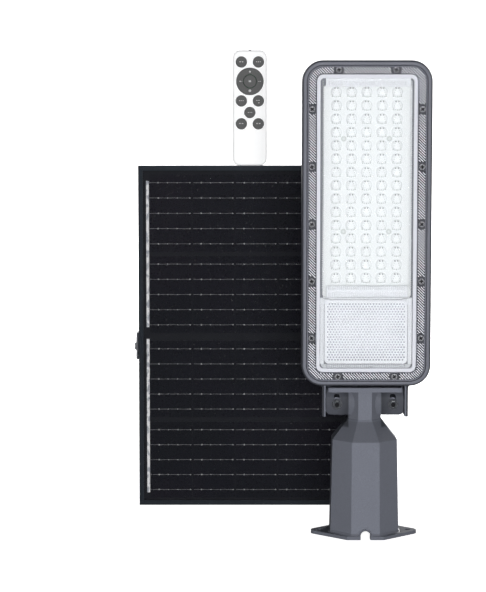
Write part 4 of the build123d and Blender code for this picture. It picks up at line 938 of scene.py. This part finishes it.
# wide ribbons: soft cambered strip
rb_lo, rb_hi = mm_box("busbar_ribbons")
verts, faces = [], []
for s, xr in ((-1, rb_lo.x + 2.55), (1, rb_hi.x - 2.55)):
    for za, zb in ((227.8, 413.0), (15.3, 212.8)):
        steps = 46
        base = len(verts)
        prof = [(-1.8, 0.0), (-1.6, 0.13), (-0.9, 0.185), (0.0, 0.195), (0.9, 0.185), (1.6, 0.13), (1.8, 0.0)]
        for i in range(steps + 1):
            z = za + (zb - za) * i / steps
            wob = 0.010 * math.sin(i * 1.7)
            for px_, hh in prof:
                verts.append((xr + px_, rb_hi.y - max(0.0, hh - abs(wob)), z))
        m_ = len(prof)
        for i in range(steps):
            for k in range(m_ - 1):
                a = base + i * m_ + k
                faces.append((a, a + 1, a + 1 + m_, a + m_))
            a = base + i * m_
            faces.append((a, a + m_, a + m_ + m_ - 1, a + m_ - 1))
        faces.append(tuple(base + k for k in range(m_)))
        faces.append(tuple(base + steps * m_ + k for k in range(m_))[::-1])
# painted glints: blotchy bright patches and a faint emission stand in for reflections on the tin
m = Mat("ribbon_tin_painted_glint", rough=0.42, metal=0.0)
fine = m.noise(1500.0, 3.0, 0.6)
painted_light_blotch = m.noise(230.0, 2.0, 0.5, stretch=(1.0, 1.0, 0.6))
c = m.ramp(painted_light_blotch, [(0.40, (0.44, 0.46, 0.51)), (0.53, (0.99, 0.995, 1.0))])
c = m.mix(m.remap(fine, 0.4, 0.7, 0.0, 0.12), c, (0.66, 0.68, 0.74))
m.colour(c)
m.link(c, m.b.inputs["Emission Color"])
m.b.inputs["Emission Strength"].default_value = 0.37
m.rough(painted_light_blotch, 0.3, 0.7, 0.50, 0.32)
m.bump(painted_light_blotch, 0.15, 0.00008)
mat_ribbon = m
piece("ribbon_strips", verts, faces, "panel", mat_ribbon, ("busbar_ribbons",), sharp=60)

# ---------------------------------------------------------------- clamp bolts: flanged hex heads with a chamfered, dished top
verts, faces = [], []
bolt_lo, bolt_hi = mm_box("clamp_bolts")
for z in (31.5, 81.8):
    y0 = 41.0
    add_lathe(
        verts, faces, (0, y0, z), [(4.6, 0.0), (8.9, 0.0), (8.95, 0.5), (8.5, 1.0), (7.0, 1.75), (6.4, 1.9)], 48, (0, 1, 0),
    )
    af = 6.5
    R6 = af / math.cos(math.pi / 6)
    rings = []
    for (rad_k, y, blend_k) in ((1.0, y0 + 1.7, 0), (1.0, y0 + 6.6, 0), (0.955, y0 + 7.55, 0.75), (0.70, y0 + 7.7, 1), (0.58, y0 + 7.25, 1)):
        ring = []
        for k in range(48):
            a = 2 * math.pi * k / 48
            sect = (a + math.pi / 6) % (math.pi / 3) - math.pi / 6
            hexr = af / math.cos(sect)
            rr = (hexr * (1 - blend_k) + af * blend_k) * rad_k
            ring.append((rr * math.cos(a), y, z + rr * math.sin(a)))
        rings.append(ring)
    b = len(verts)
    for ring in rings:
        verts.extend(ring)
    for i in range(len(rings) - 1):
        for k in range(48):
            a, c_ = b + i * 48 + k, b + i * 48 + (k + 1) % 48
            faces.append((a, c_, c_ + 48, a + 48))
    faces.append(tuple(b + k for k in range(48))[::-1])
    faces.append(tuple(b + (len(rings) - 1) * 48 + k for k in range(48)))
    # threaded shank reaching in to the bore
    prof = [(3.95, -8.6)]
    for j in range(12):
        prof += [(3.95, -8.4 + j * 0.68), (3.45, -8.06 + j * 0.68)]
    prof += [(3.95, -0.1), (3.95, 0.2)]
    add_lathe(verts, faces, (0, y0, z), prof, 40, (0, 1, 0))
piece("clamp_bolt_set", verts, faces, "base", mat_zinc, ("clamp_bolts",), sharp=28)

# ---------------------------------------------------------------- tilt screws: rounded button heads with a hex recess
ts_lo, ts_hi = mm_box("tilt_screws")
TX, TZ = (ts_hi.x - 5.2), (ts_lo.z + ts_hi.z) / 2
verts, faces = [], []
for s_ in (-1, 1):
    cx_ = s_ * TX
    prof = [
        (3.0, ts_hi.y, 0), (3.0, -17.4, 0), (5.15, -17.4, 0), (5.2, -19.3, 0), (5.0, -20.5, 0), (4.55, -21.2, 0), (3.95, -21.5, 0),
        (3.45, -21.5, 0.5), (2.95, -21.35, 1.0), (2.55, -20.9, 1.0), (2.5, -19.2, 1.0), (1.2, -18.7, 0.4), (0.1, -18.5, 0),
    ]
    b = len(verts)
    for rad, y, blend in prof:
        for k in range(48):
            a = 2 * math.pi * k / 48
            sect = (a + math.pi / 6) % (math.pi / 3) - math.pi / 6
            rr = rad * (1 - blend) + rad / math.cos(sect) * blend
            verts.append((cx_ + rr * math.cos(a), y, TZ + rr * math.sin(a)))
    for i in range(len(prof) - 1):
        for k in range(48):
            a, c_ = b + i * 48 + k, b + i * 48 + (k + 1) % 48
            faces.append((a, c_, c_ + 48, a + 48))
    faces.append(tuple(b + k for k in range(48))[::-1])
    faces.append(tuple(b + (len(prof) - 1) * 48 + k for k in range(48)))
# dark hex plugs in the screw recesses: painted shade
rec_v, rec_f = [], []
for s_ in (-1, 1):
    ring = [(s_ * TX + 2.62 * math.cos(math.radians(60 * k)), TZ + 2.62 * math.sin(math.radians(60 * k))) for k in range(6)]
    add_prism(rec_v, rec_f, [(a, -18.9, b_) for a, b_ in ring], [(a, -20.3, b_) for a, b_ in ring])
piece("tilt_screw_recess_shade", rec_v, rec_f, "head", mat_recess, sharp=40)
piece("tilt_screw_set", verts, faces, "head", mat_tilt_head, ("tilt_screws",), sharp=30)

# ---------------------------------------------------------------- foot: cast fillet where the socket meets the foot
verts, faces = [], []


def octagon(af, z):
    r = af / math.cos(math.radians(22.5))
    return [(r * math.cos(math.radians(22.5 + 45 * k)), r * math.sin(math.radians(22.5 + 45 * k)), z) for k in range(8)]


foot_t = 4.0
taper = (81.0 - 76.2) / 2 / 115.0
prof = [(0.02, 3.2), (0.50, 1.45), (1.25, 0.5), (2.45, 0.02)]  # (out from wall, above foot)
# the run is broken at both cable notches, so it is two strips
for half in (0, 1):
    corners = [Vector((*octagon(40.5, 0)[k][:2], 0)) for k in range(8)]
    # path points in order round one side, from notch to notch
    if half == 0:
        path = [Vector((8.6, 40.5, 0)), corners[1], corners[0], corners[7], corners[6], Vector((8.6, -40.5, 0))]
    else:
        path = [Vector((-8.6, 40.5, 0)), corners[2], corners[3], corners[4], corners[5], Vector((-8.6, -40.5, 0))]
    ring_all = []
    for (out, up) in prof:
        k_af = (40.5 - taper * (foot_t + up) + out) / 40.5
        ring = []
        for p in path:
            q = p * k_af
            if abs(p.x) == 8.6:
                q = Vector((p.x, math.copysign(40.5 * k_af, p.y), 0))
            ring.append((q.x, q.y, foot_t + up))
        ring_all.append(ring)
    inner = []
    for p in path:
        k_af = (40.5 - taper * foot_t - 0.6) / 40.5
        q = p * k_af
        if abs(p.x) == 8.6:
            q = Vector((p.x, math.copysign(40.5 * k_af, p.y), 0))
        inner.append((q.x, q.y, foot_t - 0.3))
    inner_top = [(q[0] * 0.985, q[1] * 0.985, foot_t + 3.2) for q in ring_all[0]]
    loops = [inner_top] + ring_all + [inner]
    b = len(verts)
    n = len(path)
    for lp in loops:
        verts.extend(lp)
    L = len(loops)
    for i in range(L):
        j = (i + 1) % L
        for k in range(n - 1):
            faces.append((b + i * n + k, b + i * n + k + 1, b + j * n + k + 1, b + j * n + k))
    faces.append(tuple(b + i * n for i in range(L)))
    faces.append(tuple(b + i * n + n - 1 for i in range(L))[::-1])
piece("foot_fillet", verts, faces, "base", mat_dark_casting, sharp=30)

# lips round the cable notches: half-round bead
verts, faces = [], []
for s, y in ((-1, -41.9), (1, 41.9)):
    path = [(-6.9, 0.9), (-6.9, 4.7)]
    path += [(-6.9 * math.cos(math.radians(a)), 4.7 + 6.9 * math.sin(math.radians(a))) for a in range(15, 180, 15)]
    path += [(6.9, 4.7), (6.9, 0.9)]
    seg = 8
    b = len(verts)
    for i, (x, z) in enumerate(path):
        if i == 0:
            t = Vector((path[1][0] - x, 0, path[1][1] - z))
        elif i == len(path) - 1:
            t = Vector((x - path[-2][0], 0, z - path[-2][1]))
        else:
            t = Vector((path[i + 1][0] - path[i - 1][0], 0, path[i + 1][1] - path[i - 1][1]))
        t.normalize()
        nrm = Vector((t.z, 0, -t.x))
        for k in range(seg):
            a = 2 * math.pi * k / seg
            q = Vector((x, y, z)) + nrm * (0.85 * math.cos(a)) + Vector((0, s * 0.75 * math.sin(a), 0))
            verts.append(tuple(q))
    for i in range(len(path) - 1):
        for k in range(seg):
            a, c_ = b + i * seg + k, b + i * seg + (k + 1) % seg
            faces.append((a, c_, c_ + seg, a + seg))
    faces.append(tuple(b + k for k in range(seg))[::-1])
    faces.append(tuple(b + (len(path) - 1) * seg + k for k in range(seg)))
piece("notch_beads", verts, faces, "base", mat_dark_casting, sharp=60)

# ---------------------------------------------------------------- remote: plain raised marks on the keys
kfaces = {}


def bar(verts, faces, x, z, w, h, y, lift=0.10, round_=True):
    """A small raised pill or dot."""
    n = 16
    low, high = [], []
    r = min(w, h) / 2
    for k in range(n):
        a = 2 * math.pi * (k + 0.5) / n
        ox = (w / 2 - r) * (1 if math.cos(a) > 0 else -1)
        oz = (h / 2 - r) * (1 if math.sin(a) > 0 else -1)
        px_, pz_ = x + ox + r * math.cos(a), z + oz + r * math.sin(a)
        low.append((px_, y + 0.03, pz_))
        high.append((x + (px_ - x) * 0.93, y - lift, z + (pz_ - z) * 0.93))
    add_prism(verts, faces, low, high)


def centre_of(node):
    lo, hi = mm_box(node)
    return (lo.x + hi.x) / 2, (lo.z + hi.z) / 2, lo.y


def mark(node, shapes):
    cx, cz, y = centre_of(node)
    v, f = [], []
    for dx, dz, w, h in shapes:
        bar(v, f, cx + dx, cz + dz, w, h, y)
    piece(node + "_mark", v, f, node, mat_mark, sharp=60)


mark("key_on", [(-1.6, 0.2, 2.2, 1.1), (1.5, 0.2, 2.0, 1.1)])
mark("key_off", [(-2.3, 0.2, 1.5, 1.1), (0.0, 0.2, 1.5, 1.1), (2.3, 0.2, 1.5, 1.1)])
mark("key_left_a", [(-2.2, 0.3, 1.6, 1.0), (0.0, 0.3, 1.2, 1.0), (2.1, 0.3, 1.4, 1.0)])
mark("key_right_a", [(-1.9, 0.6, 1.7, 1.0), (0.7, 0.6, 1.9, 1.0), (0.6, -2.4, 1.6, 1.2)])
mark("key_middle", [(-1.9, 0.1, 1.6, 1.0), (0.3, 0.1, 1.2, 1.0), (2.3, 0.1, 1.3, 1.0)])
mark("key_left_b", [(-1.9, 0.4, 1.9, 1.3), (1.3, 0.4, 2.3, 1.0)])
mark("key_right_b", [(-1.7, 0.4, 1.9, 1.4), (1.6, 0.4, 2.3, 1.2)])
mark("key_mode", [(-0.9, 0.2, 1.0, 2.6), (0.9, 0.2, 1.0, 2.6), (0.0, 0.1, 0.9, 1.4)])
mark("key_ring", [(0.0, 12.0, 2.5, 2.5), (0.0, -11.6, 3.5, 3.5), (-12.2, 0.0, 1.6, 1.8), (-9.9, 0.0, 1.2, 0.7), (11.2, 0.0, 1.4, 0.8), (13.2, 0.0, 1.2, 0.8)])

# ---------------------------------------------------------------- stage: floor sweep, lights, camera
bm = bmesh.new()
prof = [(-7.0, 0.0), (-3.0, 0.0), (0.0, 0.0), (2.2, 0.0)]
for k in range(1, 13):
    a = math.radians(90 * k / 12)
    prof.append((2.2 + 1.6 * math.sin(a), 1.6 - 1.6 * math.cos(a)))
prof.append((3.8, 7.0))
rows_ = []
for y, z in prof:
    rows_.append([bm.verts.new((x, y, z - 0.0002)) for x in (-9.0, 9.0)])
for i in range(len(rows_) - 1):
    bm.faces.new((rows_[i][0], rows_[i][1], rows_[i + 1][1], rows_[i + 1][0]))
me = bpy.data.meshes.new("studio_sweep")
bm.to_mesh(me)
bm.free()
me.polygons.foreach_set("use_smooth", [True] * len(me.polygons))
floor = bpy.data.objects.new("studio_sweep", me)
scene.collection.objects.link(floor)
fm = Mat("studio_paper", rough=0.9)
fn = fm.noise(3.0, 2.0)
fm.colour(fm.ramp(fn, [(0.3, (0.90, 0.90, 0.90)), (0.7, (0.93, 0.93, 0.93))]))
fm.b.inputs["Emission Color"].default_value = (1, 1, 1, 1)
fm.b.inputs["Emission Strength"].default_value = 0.95
me.materials.append(fm.m)
floor.visible_diffuse = False
floor.visible_glossy = False

# a round paper wall closes the horizon in the side and back views; it lights and shades nothing
bm = bmesh.new()
ring_low, ring_high = [], []
for k in range(96):
    a = 2 * math.pi * k / 96
    ring_low.append(bm.verts.new((6.8 * math.cos(a), 6.8 * math.sin(a), -0.01)))
    ring_high.append(bm.verts.new((6.8 * math.cos(a), 6.8 * math.sin(a), 8.0)))
for k in range(96):
    n = (k + 1) % 96
    bm.faces.new((ring_low[k], ring_high[k], ring_high[n], ring_low[n]))
me = bpy.data.meshes.new("studio_wall")
bm.to_mesh(me)
bm.free()
me.polygons.foreach_set("use_smooth", [True] * len(me.polygons))
wm = Mat("studio_wall_paper", rough=0.9)
wm.colour(wm.ramp(wm.noise(3.0, 2.0), [(0.3, (0.90, 0.90, 0.90)), (0.7, (0.93, 0.93, 0.93))]))
wm.b.inputs["Emission Color"].default_value = (1, 1, 1, 1)
wm.b.inputs["Emission Strength"].default_value = 0.95
wm.m.cycles.emission_sampling = "NONE"
me.materials.append(wm.m)
wall = bpy.data.objects.new("studio_wall", me)
scene.collection.objects.link(wall)
wall.visible_diffuse = False
wall.visible_glossy = False
wall.visible_transmission = False
wall.visible_shadow = False

world = bpy.data.worlds.new("studio_world")
world.use_nodes = True
world.node_tree.nodes["Background"].inputs[0].default_value = (0.95, 0.975, 1.0, 1)
world.node_tree.nodes["Background"].inputs[1].default_value = 0.13
scene.world = world


def area(name, loc, target, size, power, colour=(1, 1, 1), diffuse=True, glossy=True):
    ld = bpy.data.lights.new(name, "AREA")
    ld.shape = "RECTANGLE"
    ld.size, ld.size_y = size
    ld.energy = power
    ld.color = colour
    ob = bpy.data.objects.new(name, ld)
    ob.location = loc
    ob.rotation_euler = (Vector(target) - Vector(loc)).to_track_quat("-Z", "Y").to_euler()
    ob.visible_diffuse = diffuse
    ob.visible_glossy = glossy
    scene.collection.objects.link(ob)
    return ob


area("key_front", (0.0, -3.2, 0.31), (-0.05, 0.0, 0.30), (1.6, 0.56), 101.0, (1.0, 0.995, 0.99), glossy=False)
area("strip_top", (0.1, -2.5, 2.1), (0.0, 0.0, 0.30), (1.9, 0.4), 12.0, diffuse=False)
area("strip_left", (-2.3, -1.2, 0.9), (-0.05, 0.0, 0.30), (0.35, 1.6), 7.0, diffuse=False)
area("strip_right", (2.3, -1.0, 0.8), (0.0, 0.0, 0.30), (0.30, 1.6), 6.0, diffuse=False)
area("rear_left", (-1.1, 2.8, 1.1), (-0.05, 0.1, 0.28), (1.4, 1.2), 60.0)
area("rear_right", (1.4, 2.9, 1.1), (-0.05, 0.1, 0.28), (1.4, 1.2), 66.0)

cam_data = bpy.data.cameras.new("camera")
cam = bpy.data.objects.new("camera", cam_data)
scene.collection.objects.link(cam)
cam.location = (-0.1438, -2.400, 0.512)
cam.rotation_euler = (math.radians(90 - 5.43), 0, 0)
cam_data.sensor_width = 36.0
cam_data.lens = 124.1
cam_data.clip_start, cam_data.clip_end = 0.05, 60.0
scene.camera = cam
scene.view_settings.view_transform = "Standard"
scene.view_settings.look = "None"
